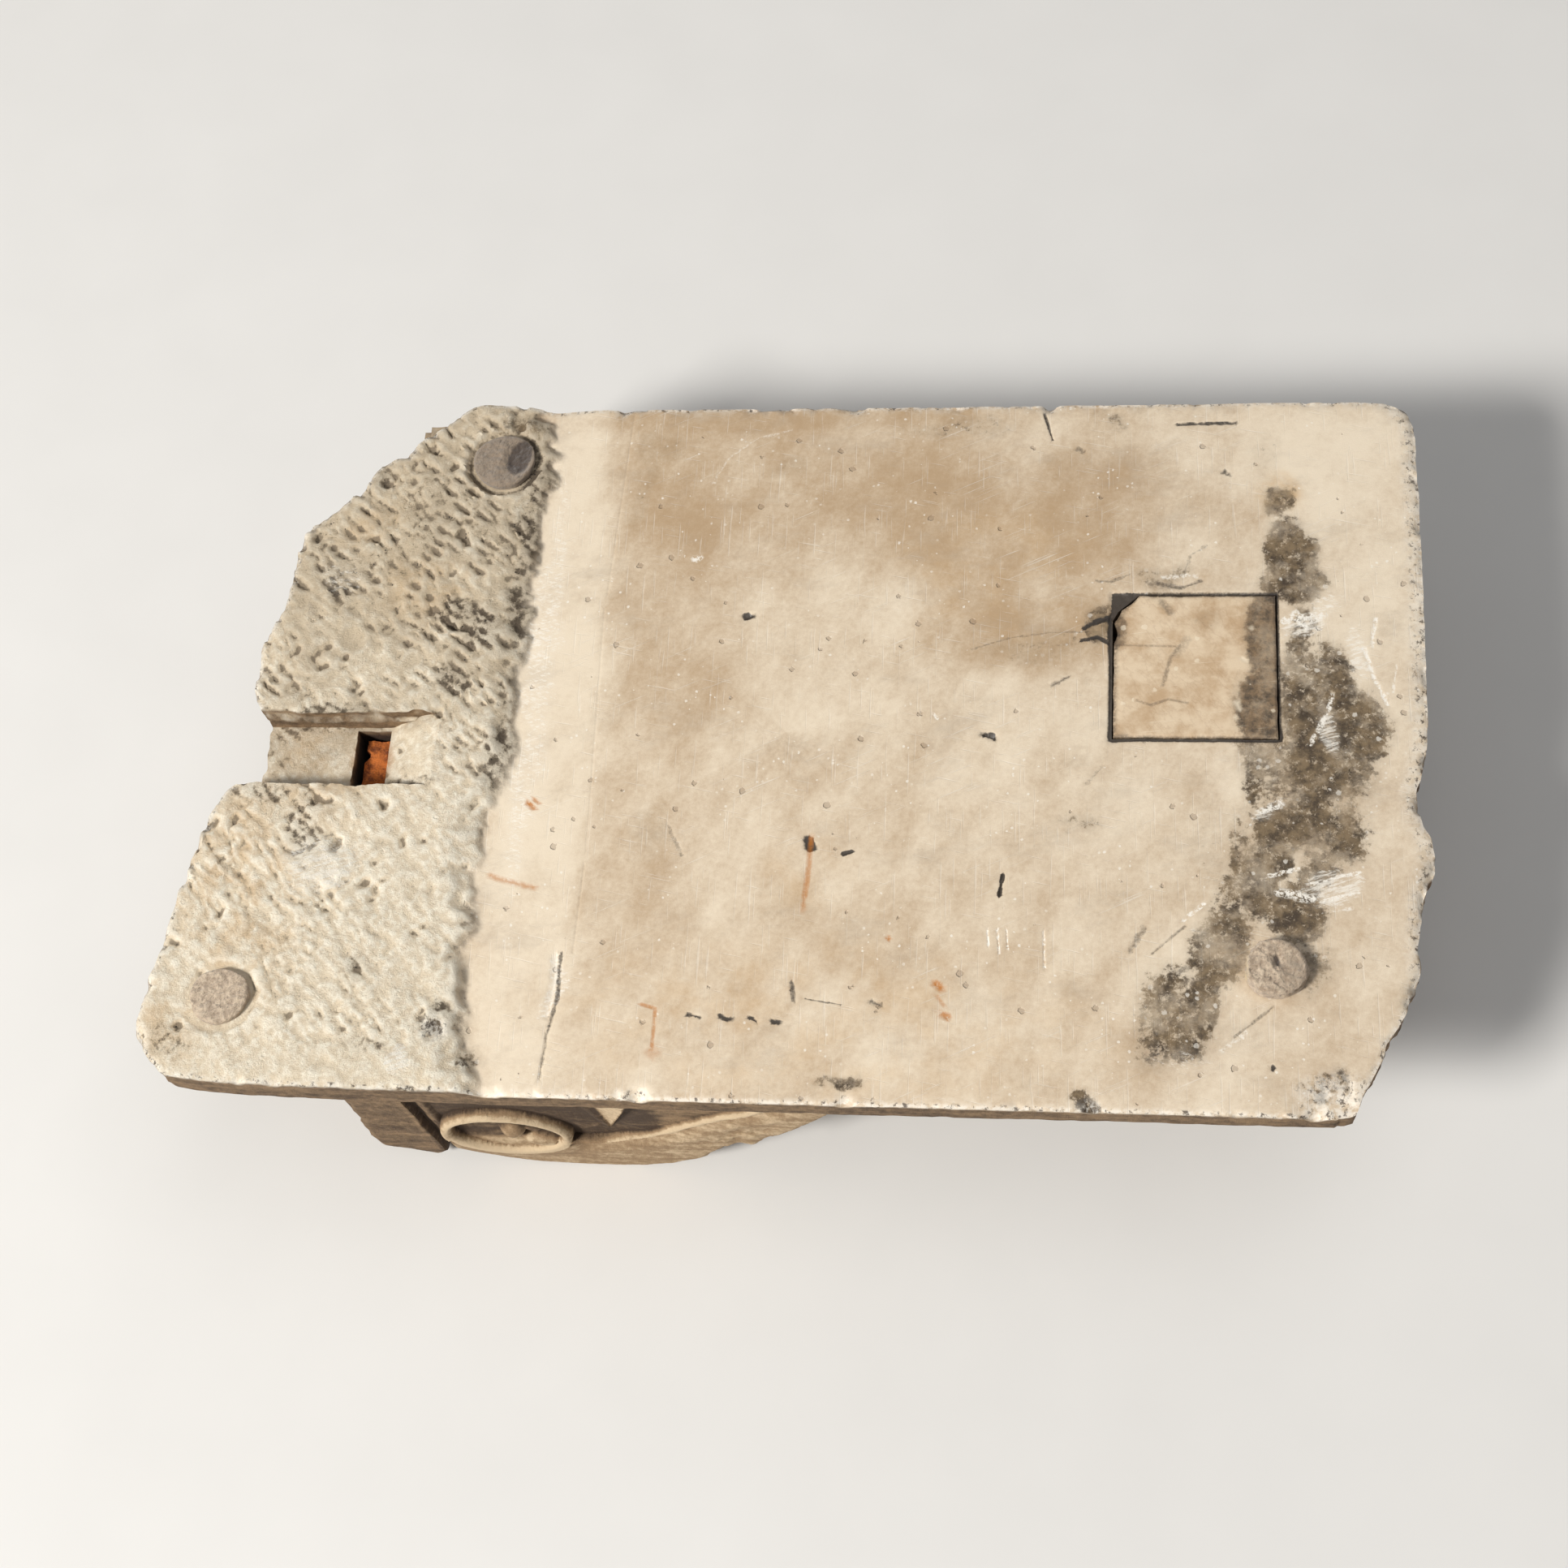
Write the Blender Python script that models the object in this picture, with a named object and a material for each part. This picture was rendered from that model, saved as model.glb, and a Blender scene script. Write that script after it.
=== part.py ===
"""Marble modillion: a carved block with an inlaid square plug, a rusted iron dowel and three felt feet.

The block lies as it does in a cornice, with its bed up. +X runs from the tail, which was built into
the wall, to the front. The origin is on the smooth bed, midway between the two sides. Sizes are in
metres. Broken outlines and free carving are held as shares of the width or of the bracket's depth.
"""

import math

import bmesh
import bpy
from mathutils import Vector, noise
from mathutils.geometry import delaunay_2d_cdt

# Slab
BLOCK_WIDTH = 0.296
HALF_WIDTH = BLOCK_WIDTH / 2
FRONT_REACH = 0.2415
TAIL_REACH = 0.2375
SLAB_EDGE = 0.013
SLAB_CHAMFER = 0.0015
WORN_ARRIS = 0.0006

# Rough tail, left proud of the smooth bed and dressed with a point
TAIL_RISE = 0.0055
TAIL_DRESSING = 0.0010
STEP_X = -0.106
STEP_WANDER = 0.0045
STEP_RUN = 0.0045
DRESSING_PITCH = 0.0085
TAIL_EMBED = 0.004

# The slab's outline, anticlockwise, as a distance behind the foremost point and a share of the
# half width
FRONT_BREAK = (
    (0.0375, -1.0), (0.0315, -0.985), (0.0295, -0.940), (0.0245, -0.890), (0.0205, -0.835),
    (0.0135, -0.735), (0.0075, -0.650), (0.0070, -0.530), (0.0045, -0.460), (0.0010, -0.365),
    (0.0025, -0.260), (0.0060, -0.150), (0.0030, -0.090), (0.0010, -0.035),
)
FRONT_EDGE = (
    (0.0005, 0.100), (0.0, 0.500), (0.0005, 0.900), (0.0030, 0.970), (0.0105, 0.994), (0.0265, 1.0),
)

# The broken tail, as a distance ahead of the hindmost point and a share of the half width
TAIL_BREAK = (
    (0.0995, 0.996), (0.0915, 0.960), (0.0805, 0.905), (0.0725, 0.850), (0.0615, 0.795),
    (0.0565, 0.725), (0.0465, 0.660), (0.0355, 0.600), (0.0330, 0.530), (0.0325, 0.400),
    (0.0275, 0.285), (0.0245, 0.220), (0.0245, 0.095), (0.0280, 0.030), (0.0290, -0.080),
    (0.0275, -0.150), (0.0205, -0.205), (0.0155, -0.265), (0.0115, -0.380), (0.0080, -0.495),
    (0.0050, -0.605), (0.0025, -0.720), (0.0000, -0.865), (0.0065, -0.935), (0.0145, -0.975),
    (0.0295, -0.988), (0.0475, -0.994), (0.0875, -1.0),
)

# Bracket under the slab. Under edge: x and a share of the bracket's depth
BRACKET_DEPTH = 0.094
BRACKET_TOP = 0.006
CHEEK_SETBACK = 0.0048
CHEEK_WIDTH = 0.026
CHEEK_REVEAL = 0.0020
SOFFIT_SINK = 0.0065
SOFFIT_LAP = 0.004
WALL_BLOCK_X = -0.163
WALL_BLOCK_WIDTH = 0.0245
WALL_BLOCK_PROUD = 0.0022
WALL_BLOCK_FOOT = (0.830, 0.968)
NOTCH_RISE = 0.085
NOTCH_RUN = 0.004
UNDER_EDGE = (
    (-0.105, 0.962), (-0.085, 0.993), (-0.066, 1.0), (-0.045, 0.947), (-0.030, 0.853),
    (-0.0265, 0.760), (-0.019, 0.665), (-0.009, 0.638), (0.004, 0.480), (0.0165, 0.300),
    (0.0225, 0.160),
)
FILLET_LINE = (
    (0.008, 0.090), (-0.008, 0.205), (-0.024, 0.320), (-0.036, 0.440), (-0.051, 0.570),
    (-0.062, 0.643), (-0.079, 0.660),
)
BAND_PROUD = 0.0029
FILLET_PROUD = 0.0038
FILLET_WIDTH = 0.0036

# Volute on each side of the bracket, in proportion to the bracket's depth
VOLUTE_X = -0.1054
VOLUTE_DROP = BRACKET_DEPTH * 0.638
VOLUTE_RADIUS = BRACKET_DEPTH * 0.287
RING_WIDTH = 0.0048
RING_PROUD = 0.0034
RING_SEGMENTS = 40
RING_SECTION = ((0.0, 0.53), (0.23, 0.12), (0.5, 0.0), (0.75, 0.12), (1.0, 0.50))
TURN_PROUD = 0.0019
EYE_RADIUS = 0.0056
EYE_PROUD = 0.0036
EYE_OFFSET = (0.0034, 0.0050)
DRILL_RADIUS = 0.0017
DRILL_DEPTH = 0.005

# Leaf dart in the spandrel beside the volute, from the volute's centre: x and height
DART_LEFT = (0.0374, 0.0415)
DART_RIGHT = (0.0580, 0.0440)
DART_TIP = (0.0425, 0.0090)
DART_RIDGE = (0.0535, 0.0445)
DART_PROUD = 0.0042

# Plain broad leaf under the soffit: shares of its length, of the bracket's depth and of the half width
LEAF_LAP = 0.013
LEAF_SETBACK = 0.0275
LEAF_STATIONS = (
    (0.000, 0.880, 0.700), (0.082, 0.950, 0.735), (0.179, 0.965, 0.750), (0.288, 0.900, 0.745),
    (0.426, 0.770, 0.730), (0.591, 0.640, 0.705), (0.742, 0.560, 0.670), (0.865, 0.500, 0.610),
    (0.940, 0.420, 0.500), (0.984, 0.290, 0.330), (1.000, 0.150, 0.160),
)
LEAF_STEPS = 4
LEAF_LOBE_PITCH = 0.046
LEAF_LOBE_DEPTH = 0.045
LEAF_SECTION = ((1.0, 0.0), (0.93, 0.45), (0.90, 0.80), (0.70, 0.93), (0.36, 0.975))
LEAF_RIB_HALF = 0.006
LEAF_RIB_BASE = 0.955

# Broken root of the tail, under the slab behind the wall block
ROOT_SETBACK = 0.0375
ROOT_HALF_SHARE = 0.80
ROOT_DEPTH_SHARES = (0.74, 0.50, 0.22)
ROOT_CHIP = 0.0035
ROOT_SKEW = 0.07
ROOT_TAPER = 0.10

# Cramp cutting in the tail, with a dowel hole in its floor
CRAMP_Y = -0.0105
CRAMP_WIDTH = 0.031
CRAMP_DEPTH = 0.012
CRAMP_END_X = -0.157
CRAMP_RAMP = 0.022
DOWEL_HOLE_X = -0.1645
DOWEL_HOLE_LENGTH = 0.0135
DOWEL_HOLE_WIDTH = 0.0255
DOWEL_HOLE_DEPTH = 0.026
IRON_THICKNESS = 0.0062
IRON_CLEARANCE = 0.0005
IRON_SINK = 0.0035

# Inlaid square plug in the bed
PLUG_FROM_FRONT = 0.0865
PLUG_X = FRONT_REACH - PLUG_FROM_FRONT
PLUG_Y = 0.0293
PLUG_LENGTH = 0.0620
PLUG_WIDTH = 0.0615
PLUG_DEPTH = 0.014
PLUG_JOINT = 0.0007
PLUG_CORNER_CHIP = (0.0100, 0.0070)
PLUG_CHIP_SLANT = 0.002

# Felt feet: name, end that it is measured from, distance from there, share of the half width,
# radius, thickness, depth of the seat cut for it
FELT_CLEARANCE = 0.0003
FELT_SEAT_MARGIN = 0.0015
FELT_CORNERS = 10
FELT_FEET = (
    ("felt_foot_tail_far", -TAIL_REACH, 0.1145, 0.811, 0.0138, 0.0034, 0.0030),
    ("felt_foot_tail_near", -TAIL_REACH, 0.0325, -0.770, 0.0124, 0.0028, 0.0012),
    ("felt_foot_front", FRONT_REACH, -0.0585, -0.635, 0.0124, 0.0066, 0.0),
)

SOLVER_LAP = 0.010


def clear_scene():
    """Removes whatever the file holds."""
    for item in list(bpy.data.objects):
        bpy.data.objects.remove(item, do_unlink=True)


def make_material(name, color, roughness, metallic=0.0):
    """Returns a Principled BSDF material of one colour."""
    material = bpy.data.materials.new(name)
    material.use_nodes = True
    shader = material.node_tree.nodes["Principled BSDF"]
    shader.inputs["Base Color"].default_value = (*color, 1.0)
    shader.inputs["Roughness"].default_value = roughness
    shader.inputs["Metallic"].default_value = metallic
    return material


def add_object(name, bm, material, smooth_angle=None):
    """Puts a bmesh into the scene as a named object."""
    bmesh.ops.recalc_face_normals(bm, faces=bm.faces)
    mesh = bpy.data.meshes.new(name)
    bm.to_mesh(mesh)
    bm.free()
    mesh.materials.append(material)
    if smooth_angle is not None:
        mesh.shade_smooth()
        mesh.set_sharp_from_angle(angle=smooth_angle)
    item = bpy.data.objects.new(name, mesh)
    bpy.context.scene.collection.objects.link(item)
    return item


def hide_guide(item):
    """Marks an object as one that only shapes another."""
    item.hide_render = True
    item.display_type = "WIRE"
    return item


def shape_with(target, tool, operation):
    """Joins a hidden solid to the target, or cuts it away."""
    modifier = target.modifiers.new(tool.name, "BOOLEAN")
    modifier.operation = operation
    modifier.solver = "EXACT"
    modifier.object = hide_guide(tool)


def smooth_path(points, steps):
    """Returns points on a Catmull-Rom curve through the given ones."""
    padded = [points[0], *points, points[-1]]
    path = []
    for index in range(1, len(padded) - 2):
        before, start, end, after = (Vector(point) for point in padded[index - 1:index + 3])
        for step in range(steps):
            t = step / steps
            pull = (end - before) * t + (2 * before - 5 * start + 4 * end - after) * t ** 2
            turn = (3 * start - before - 3 * end + after) * t ** 3
            path.append(tuple(start + 0.5 * (pull + turn)))
    path.append(tuple(points[-1]))
    return path


def stack_loops(loops):
    """Returns a closed bmesh from rings of points of equal count, capped at both ends."""
    bm = bmesh.new()
    rings = [[bm.verts.new(point) for point in loop] for loop in loops]
    count = len(rings[0])
    for lower, upper in zip(rings, rings[1:]):
        for index in range(count):
            after = (index + 1) % count
            bm.faces.new((lower[index], lower[after], upper[after], upper[index]))
    bm.faces.new(rings[0])
    bm.faces.new(rings[-1])
    return bm


def side_prism(name, profile, y_low, y_high, material):
    """Returns a solid with a profile in x and z, from one y to another."""
    loops = [[(x, y, z) for x, z in profile] for y in (y_low, y_high)]
    return add_object(name, stack_loops(loops), material)


def hull(name, points, material):
    """Returns the convex solid around a set of points."""
    bm = bmesh.new()
    verts = [bm.verts.new(point) for point in points]
    result = bmesh.ops.convex_hull(bm, input=verts)
    loose = {item for item in result["geom_interior"] + result["geom_unused"]}
    bmesh.ops.delete(bm, geom=[item for item in loose if isinstance(item, bmesh.types.BMVert)])
    return add_object(name, bm, material)


def inset_outline(outline, distance):
    """Returns a closed outline moved inwards; the outline runs anticlockwise."""
    moved = []
    for index, point in enumerate(outline):
        before = Vector(outline[index - 1])
        after = Vector(outline[(index + 1) % len(outline)])
        along = (after - before).normalized()
        moved.append((point[0] - along.y * distance, point[1] + along.x * distance))
    return moved


def slab_outline():
    """Returns the block's outline seen from above, anticlockwise from the near front corner."""
    front = [(FRONT_REACH - behind, share * HALF_WIDTH) for behind, share in (*FRONT_BREAK, *FRONT_EDGE)]
    tail = [(ahead - TAIL_REACH, share * HALF_WIDTH) for ahead, share in TAIL_BREAK]
    return front + tail


def make_slab(material):
    """Returns the slab with a worn upper arris and a chamfered lower one."""
    outline = slab_outline()
    levels = (
        (WORN_ARRIS, 0.0), (0.0, -WORN_ARRIS),
        (0.0, SLAB_CHAMFER - SLAB_EDGE), (SLAB_CHAMFER, -SLAB_EDGE),
    )
    loops = [[(x, y, z) for x, y in inset_outline(outline, inset)] for inset, z in levels]
    return add_object("marble_block", stack_loops(loops), material)


def step_at(y):
    """Returns where the ragged edge of the rough tail lies at a given y."""
    wave = noise.noise(Vector((0.0, y * 42.0, 3.1))) + 0.6 * noise.noise(Vector((0.0, y * 110.0, 7.7)))
    return STEP_X + STEP_WANDER * wave


def tail_outline():
    """Returns the outline of the rough dressing: the broken tail, closed by the ragged step."""
    outline = inset_outline(slab_outline(), WORN_ARRIS)
    tail = [point for point in outline if point[0] < STEP_X - STEP_RUN]
    first = next(index for index, point in enumerate(tail) if point[1] > 0)
    tail = tail[first:] + tail[:first]
    near = min(outline, key=lambda point: point[1])[1]
    far = max(outline, key=lambda point: point[1])[1]
    count = round((far - near) / DRESSING_PITCH)
    ragged = []
    for index in range(count + 1):
        y = near + (far - near) * index / count
        ragged.append((step_at(y), y))
    return tail, ragged


def make_tail_dressing(material):
    """Returns the rough tail as a low solid with an uneven, point-dressed top."""
    tail, ragged = tail_outline()
    outline = tail + ragged
    edges = [(index, (index + 1) % len(outline)) for index in range(len(outline))]
    low_x = min(x for x, _ in outline)
    low_y = ragged[0][1]
    inner = []
    for column in range(int((STEP_X - low_x) / DRESSING_PITCH)):
        for row in range(len(ragged)):
            shift = DRESSING_PITCH / 2 if column % 2 else DRESSING_PITCH / 4
            inner.append((low_x + (column + 0.5) * DRESSING_PITCH, low_y + row * DRESSING_PITCH + shift))
    margin = DRESSING_PITCH * 0.45
    inner = [point for point in inner if clear_of(point, outline, margin)]
    points = [Vector(point) for point in outline + inner]
    verts, _, faces, origins, _, _ = delaunay_2d_cdt(points, edges, [], 1, 1e-6)
    bm = bmesh.new()
    top = []
    for vert, origin in zip(verts, origins):
        on_step = origin and len(tail) <= origin[0] < len(outline)
        top.append(bm.verts.new((vert.x, vert.y, dressing_height(vert.x, vert.y, on_step))))
    for face in faces:
        bm.faces.new([top[index] for index in face])
    base = bmesh.ops.extrude_face_region(bm, geom=bm.faces[:])
    for vert in (item for item in base["geom"] if isinstance(item, bmesh.types.BMVert)):
        vert.co.z = -TAIL_EMBED
    flat = [face for face in bm.faces if all(abs(vert.co.z + TAIL_EMBED) < 1e-7 for vert in face.verts)]
    bmesh.ops.dissolve_faces(bm, faces=flat)
    return add_object("tail_dressing", bm, material)


def clear_of(point, outline, margin):
    """Tells whether a point lies inside an outline and at least a margin from its edges."""
    inside = False
    x, y = point
    for index, start in enumerate(outline):
        end = outline[(index + 1) % len(outline)]
        if (start[1] > y) != (end[1] > y):
            cross = start[0] + (y - start[1]) * (end[0] - start[0]) / (end[1] - start[1])
            inside ^= x < cross
        edge = Vector(end) - Vector(start)
        reach = Vector(point) - Vector(start)
        t = min(1.0, max(0.0, reach.dot(edge) / edge.length_squared))
        if (reach - edge * t).length < margin:
            return False
    return inside


def dressing_height(x, y, on_step):
    """Returns the height of the dressed tail over the smooth bed."""
    if on_step:
        return -WORN_ARRIS
    rough = noise.noise(Vector((x * 95.0, y * 95.0, 0.4))) * TAIL_DRESSING
    run = min(1.0, max(0.0, (step_at(y) - x) / STEP_RUN))
    return -WORN_ARRIS + (TAIL_RISE + rough + WORN_ARRIS) * run


def under_edge(rise):
    """Returns the bracket's lower edge from the volute to the nose, raised by a given amount."""
    path = smooth_path([(x, -share * BRACKET_DEPTH) for x, share in UNDER_EDGE], 2)
    return [(x - rise * 0.4, min(z + rise, -BRACKET_TOP * 1.15)) for x, z in path]


def volute_arc(radius, start, end, steps):
    """Returns points around the volute's centre, between two angles in degrees."""
    points = []
    for step in range(steps + 1):
        angle = math.radians(start + (end - start) * step / steps)
        points.append((VOLUTE_X + radius * math.cos(angle), -VOLUTE_DROP + radius * math.sin(angle)))
    return points


def bracket_profile(rise):
    """Returns the bracket's side profile, from the wall block to the nose."""
    back = WALL_BLOCK_X + WALL_BLOCK_WIDTH / 2
    front = WALL_BLOCK_X + WALL_BLOCK_WIDTH
    low = -WALL_BLOCK_FOOT[1] * BRACKET_DEPTH
    return [
        (back, -BRACKET_TOP),
        (back, low * 0.85 + rise),
        (front + NOTCH_RUN, low + NOTCH_RISE * BRACKET_DEPTH + rise),
        *volute_arc(VOLUTE_RADIUS - rise, 232, 250, 2),
        *under_edge(rise),
        (UNDER_EDGE[-1][0] - rise, -BRACKET_TOP),
    ]


def band_profile():
    """Returns the broad band between the fillet and the bracket's lower edge."""
    fillet = smooth_path([(x, -share * BRACKET_DEPTH) for x, share in FILLET_LINE], 2)
    inner = volute_arc(VOLUTE_RADIUS - RING_WIDTH, -25, -125, 5)
    outer = volute_arc(VOLUTE_RADIUS, 236, 254, 2)
    return [*fillet, *inner, *outer, *under_edge(0.0)]


def fillet_profile():
    """Returns the raised fillet along the upper edge of the band."""
    line = smooth_path([(x, -share * BRACKET_DEPTH) for x, share in FILLET_LINE], 3)
    upper = []
    lower = []
    for index, point in enumerate(line):
        before = Vector(line[max(index - 1, 0)])
        after = Vector(line[min(index + 1, len(line) - 1)])
        along = (after - before).normalized()
        half = FILLET_WIDTH / 2 * (1.0 - 0.45 * index / len(line))
        upper.append((point[0] + along.y * half, point[1] - along.x * half))
        lower.append((point[0] - along.y * half, point[1] + along.x * half))
    return upper + lower[::-1]


def make_ring(name, side, material):
    """Returns the volute's rounded outer band as a turned ring."""
    front = HALF_WIDTH - CHEEK_SETBACK + RING_PROUD
    back = HALF_WIDTH - CHEEK_SETBACK - SOLVER_LAP
    inner = VOLUTE_RADIUS - RING_WIDTH
    rounded = [(inner + RING_WIDTH * across, front - RING_PROUD * down) for across, down in RING_SECTION]
    section = [(inner, back), *rounded, (VOLUTE_RADIUS, back)]
    bm = bmesh.new()
    rings = []
    for step in range(RING_SEGMENTS):
        angle = math.tau * step / RING_SEGMENTS
        ring = []
        for radius, y in section:
            x = VOLUTE_X + radius * math.cos(angle)
            z = -VOLUTE_DROP + radius * math.sin(angle)
            ring.append(bm.verts.new((x, side * y, z)))
        rings.append(ring)
    for index, ring in enumerate(rings):
        after = rings[(index + 1) % RING_SEGMENTS]
        for corner in range(len(section)):
            beyond = (corner + 1) % len(section)
            bm.faces.new((ring[corner], ring[beyond], after[beyond], after[corner]))
    return add_object(name, bm, material)


def second_turn_profile():
    """Returns the broad inner turn that winds under the volute's eye."""
    inner = VOLUTE_RADIUS - RING_WIDTH * 0.75
    lower = volute_arc(inner, -66, -186, 8)
    upper = [
        (VOLUTE_X - inner * math.cos(t * math.pi / 8) * 0.96 + inner * 0.15 * t,
         -VOLUTE_DROP + inner * (0.02 - 0.20 * t / 4 - 0.36 * (t / 4) ** 2))
        for t in range(1, 5)
    ]
    return [*lower, *upper]


def make_eye(name, side, material):
    """Returns the round boss at the volute's eye."""
    bm = bmesh.new()
    bmesh.ops.create_uvsphere(bm, u_segments=16, v_segments=8, radius=EYE_RADIUS)
    centre_y = HALF_WIDTH - CHEEK_SETBACK + EYE_PROUD - EYE_RADIUS
    shift = (VOLUTE_X + EYE_OFFSET[0], side * centre_y, -VOLUTE_DROP + EYE_OFFSET[1])
    bmesh.ops.translate(bm, vec=shift, verts=bm.verts)
    return add_object(name, bm, material)


def make_drill_hole(name, side, material):
    """Returns the cutter of the drill hole beside the eye."""
    bm = bmesh.new()
    bmesh.ops.create_cone(
        bm, cap_ends=True, segments=10, radius1=DRILL_RADIUS, radius2=DRILL_RADIUS, depth=2 * DRILL_DEPTH
    )
    across = Vector((0, 0, 1)).rotation_difference(Vector((0, 1, 0))).to_matrix()
    bmesh.ops.rotate(bm, matrix=across, verts=bm.verts)
    shift = (
        VOLUTE_X + EYE_OFFSET[0] + EYE_RADIUS * 0.95,
        side * (HALF_WIDTH - CHEEK_SETBACK + DRILL_DEPTH * 0.2),
        -VOLUTE_DROP + EYE_OFFSET[1],
    )
    bmesh.ops.translate(bm, vec=shift, verts=bm.verts)
    return add_object(name, bm, material)


def make_dart(name, side, material):
    """Returns the faceted leaf dart that fills the spandrel beside the volute."""
    panel = HALF_WIDTH - CHEEK_SETBACK
    points = []
    for x, z in (DART_LEFT, DART_RIGHT, DART_TIP):
        for y in (panel - DART_PROUD, panel + DART_PROUD * 0.02):
            points.append((VOLUTE_X + x, side * y, -VOLUTE_DROP + z))
    points.append((VOLUTE_X + DART_RIDGE[0], side * (panel + DART_PROUD), -VOLUTE_DROP + DART_RIDGE[1]))
    return hull(name, points, material)


def add_side_carving(block, name, side, material):
    """Joins one side's cheek, band, fillet, volute and dart to the block."""
    panel = HALF_WIDTH - CHEEK_SETBACK
    inner = panel - CHEEK_WIDTH
    layers = (
        ("cheek", bracket_profile(CHEEK_REVEAL), inner, panel),
        ("band", band_profile(), inner + CHEEK_WIDTH * 0.30, panel + BAND_PROUD),
        ("fillet", fillet_profile(), panel - SOLVER_LAP, panel + FILLET_PROUD),
        ("turn", second_turn_profile(), panel - SOLVER_LAP / 2, panel + TURN_PROUD),
    )
    for label, profile, low, high in layers:
        tool = side_prism(f"{name}_{label}", profile, side * low, side * high, material)
        shape_with(block, tool, "UNION")
    shape_with(block, make_ring(f"{name}_ring", side, material), "UNION")
    shape_with(block, make_eye(f"{name}_eye", side, material), "UNION")
    shape_with(block, make_dart(f"{name}_dart", side, material), "UNION")
    shape_with(block, make_drill_hole(f"{name}_drill", side, material), "DIFFERENCE")


def make_wall_block(material):
    """Returns the plain upright block at the wall end of the bracket."""
    front = WALL_BLOCK_X + WALL_BLOCK_WIDTH
    back_foot, front_foot = (-share * BRACKET_DEPTH for share in WALL_BLOCK_FOOT)
    top = -BRACKET_TOP * 0.8
    profile = [(WALL_BLOCK_X, top), (WALL_BLOCK_X, back_foot), (front, front_foot), (front, top)]
    half = HALF_WIDTH - CHEEK_SETBACK + WALL_BLOCK_PROUD
    return side_prism("wall_block", profile, -half, half, material)


def make_leaf(material):
    """Returns the plain broad leaf that runs along the soffit to the front."""
    stations = smooth_path(LEAF_STATIONS, LEAF_STEPS)
    start = WALL_BLOCK_X + LEAF_LAP
    end = FRONT_REACH - LEAF_SETBACK
    top = -BRACKET_TOP * 1.15
    loops = []
    for length_share, depth_share, width_share in stations:
        x = start + (end - start) * length_share
        lobe = 1.0 + LEAF_LOBE_DEPTH * math.cos(math.tau * x / LEAF_LOBE_PITCH)
        half = HALF_WIDTH * width_share * lobe
        low = -BRACKET_DEPTH * depth_share
        side = [(half * across, top + (low - top) * down) for across, down in LEAF_SECTION]
        side.append((LEAF_RIB_HALF, low * LEAF_RIB_BASE))
        mirrored = [(-y, z) for y, z in reversed(side)]
        loops.append([(x, y, z) for y, z in (*side, (0.0, low), *mirrored)])
    return add_object("soffit_leaf", stack_loops(loops), material)


def make_tail_root(material):
    """Returns the broken root of the tail, stepping up from the wall block to the slab."""
    half = HALF_WIDTH * ROOT_HALF_SHARE
    end = ROOT_SETBACK - TAIL_REACH
    x_values = (WALL_BLOCK_X + WALL_BLOCK_WIDTH / 2, (WALL_BLOCK_X + end) / 2, end)
    points = []
    for index, (x, share) in enumerate(zip(x_values, ROOT_DEPTH_SHARES)):
        spread = half * (1.0 - ROOT_TAPER * index)
        for row in range(5):
            y = -spread + 2 * spread * row / 4 - half * ROOT_SKEW * index
            chip = ROOT_CHIP * noise.noise(Vector((x * 90.0, y * 60.0, 1.7)))
            points.append((x, y, -BRACKET_DEPTH * share + chip))
            points.append((x, y * 0.98, -BRACKET_TOP * 1.3))
    return hull("tail_root", points, material)


def make_cramp_cutting(material):
    """Returns the cutter of the cramp's channel, open at the broken end and ramped at the other."""
    floor = TAIL_RISE - CRAMP_DEPTH
    ceiling = TAIL_RISE + SOLVER_LAP
    open_end = -TAIL_REACH - SOLVER_LAP
    rise_end = CRAMP_END_X + CRAMP_RAMP * (1.0 + SOLVER_LAP / CRAMP_DEPTH)
    profile = [(open_end, floor), (CRAMP_END_X, floor), (rise_end, ceiling), (open_end, ceiling)]
    low = CRAMP_Y - CRAMP_WIDTH / 2
    return side_prism("cramp_cutting", profile, low, low + CRAMP_WIDTH, material)


def box_points(centre, size):
    """Returns the eight corners of a box."""
    corners = []
    for x in (-0.5, 0.5):
        for y in (-0.5, 0.5):
            for z in (-0.5, 0.5):
                corners.append(tuple(c + s * k for c, s, k in zip(centre, size, (x, y, z))))
    return corners


def make_dowel_hole(material):
    """Returns the cutter of the dowel hole in the cramp's floor."""
    floor = TAIL_RISE - CRAMP_DEPTH
    size = (DOWEL_HOLE_LENGTH, DOWEL_HOLE_WIDTH, DOWEL_HOLE_DEPTH + CRAMP_DEPTH / 2)
    centre = (DOWEL_HOLE_X, CRAMP_Y, floor + CRAMP_DEPTH / 2 - size[2] / 2)
    return hull("dowel_hole", box_points(centre, size), material)


def make_iron_dowel(material):
    """Returns the rusted stump of iron that is left along one wall of the dowel hole."""
    floor = TAIL_RISE - CRAMP_DEPTH
    length = DOWEL_HOLE_WIDTH - 2 * IRON_CLEARANCE
    height = DOWEL_HOLE_DEPTH - IRON_SINK - IRON_CLEARANCE
    x = DOWEL_HOLE_X + DOWEL_HOLE_LENGTH / 2 - IRON_CLEARANCE - IRON_THICKNESS / 2
    z = floor - IRON_SINK - height / 2
    points = []
    for px, py, pz in box_points((x, CRAMP_Y, z), (IRON_THICKNESS, length, height)):
        pull = 0.10 * abs(noise.noise(Vector((px * 300.0, py * 120.0, pz * 140.0))))
        points.append((px + (x - px) * pull, py + (CRAMP_Y - py) * pull, pz + (z - pz) * pull))
        middle = py * 0.4 + CRAMP_Y * 0.6
        points.append((px + (x - px) * 0.06, middle, pz + (z - pz) * 0.02))
    return hull("iron_dowel", points, material)


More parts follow.
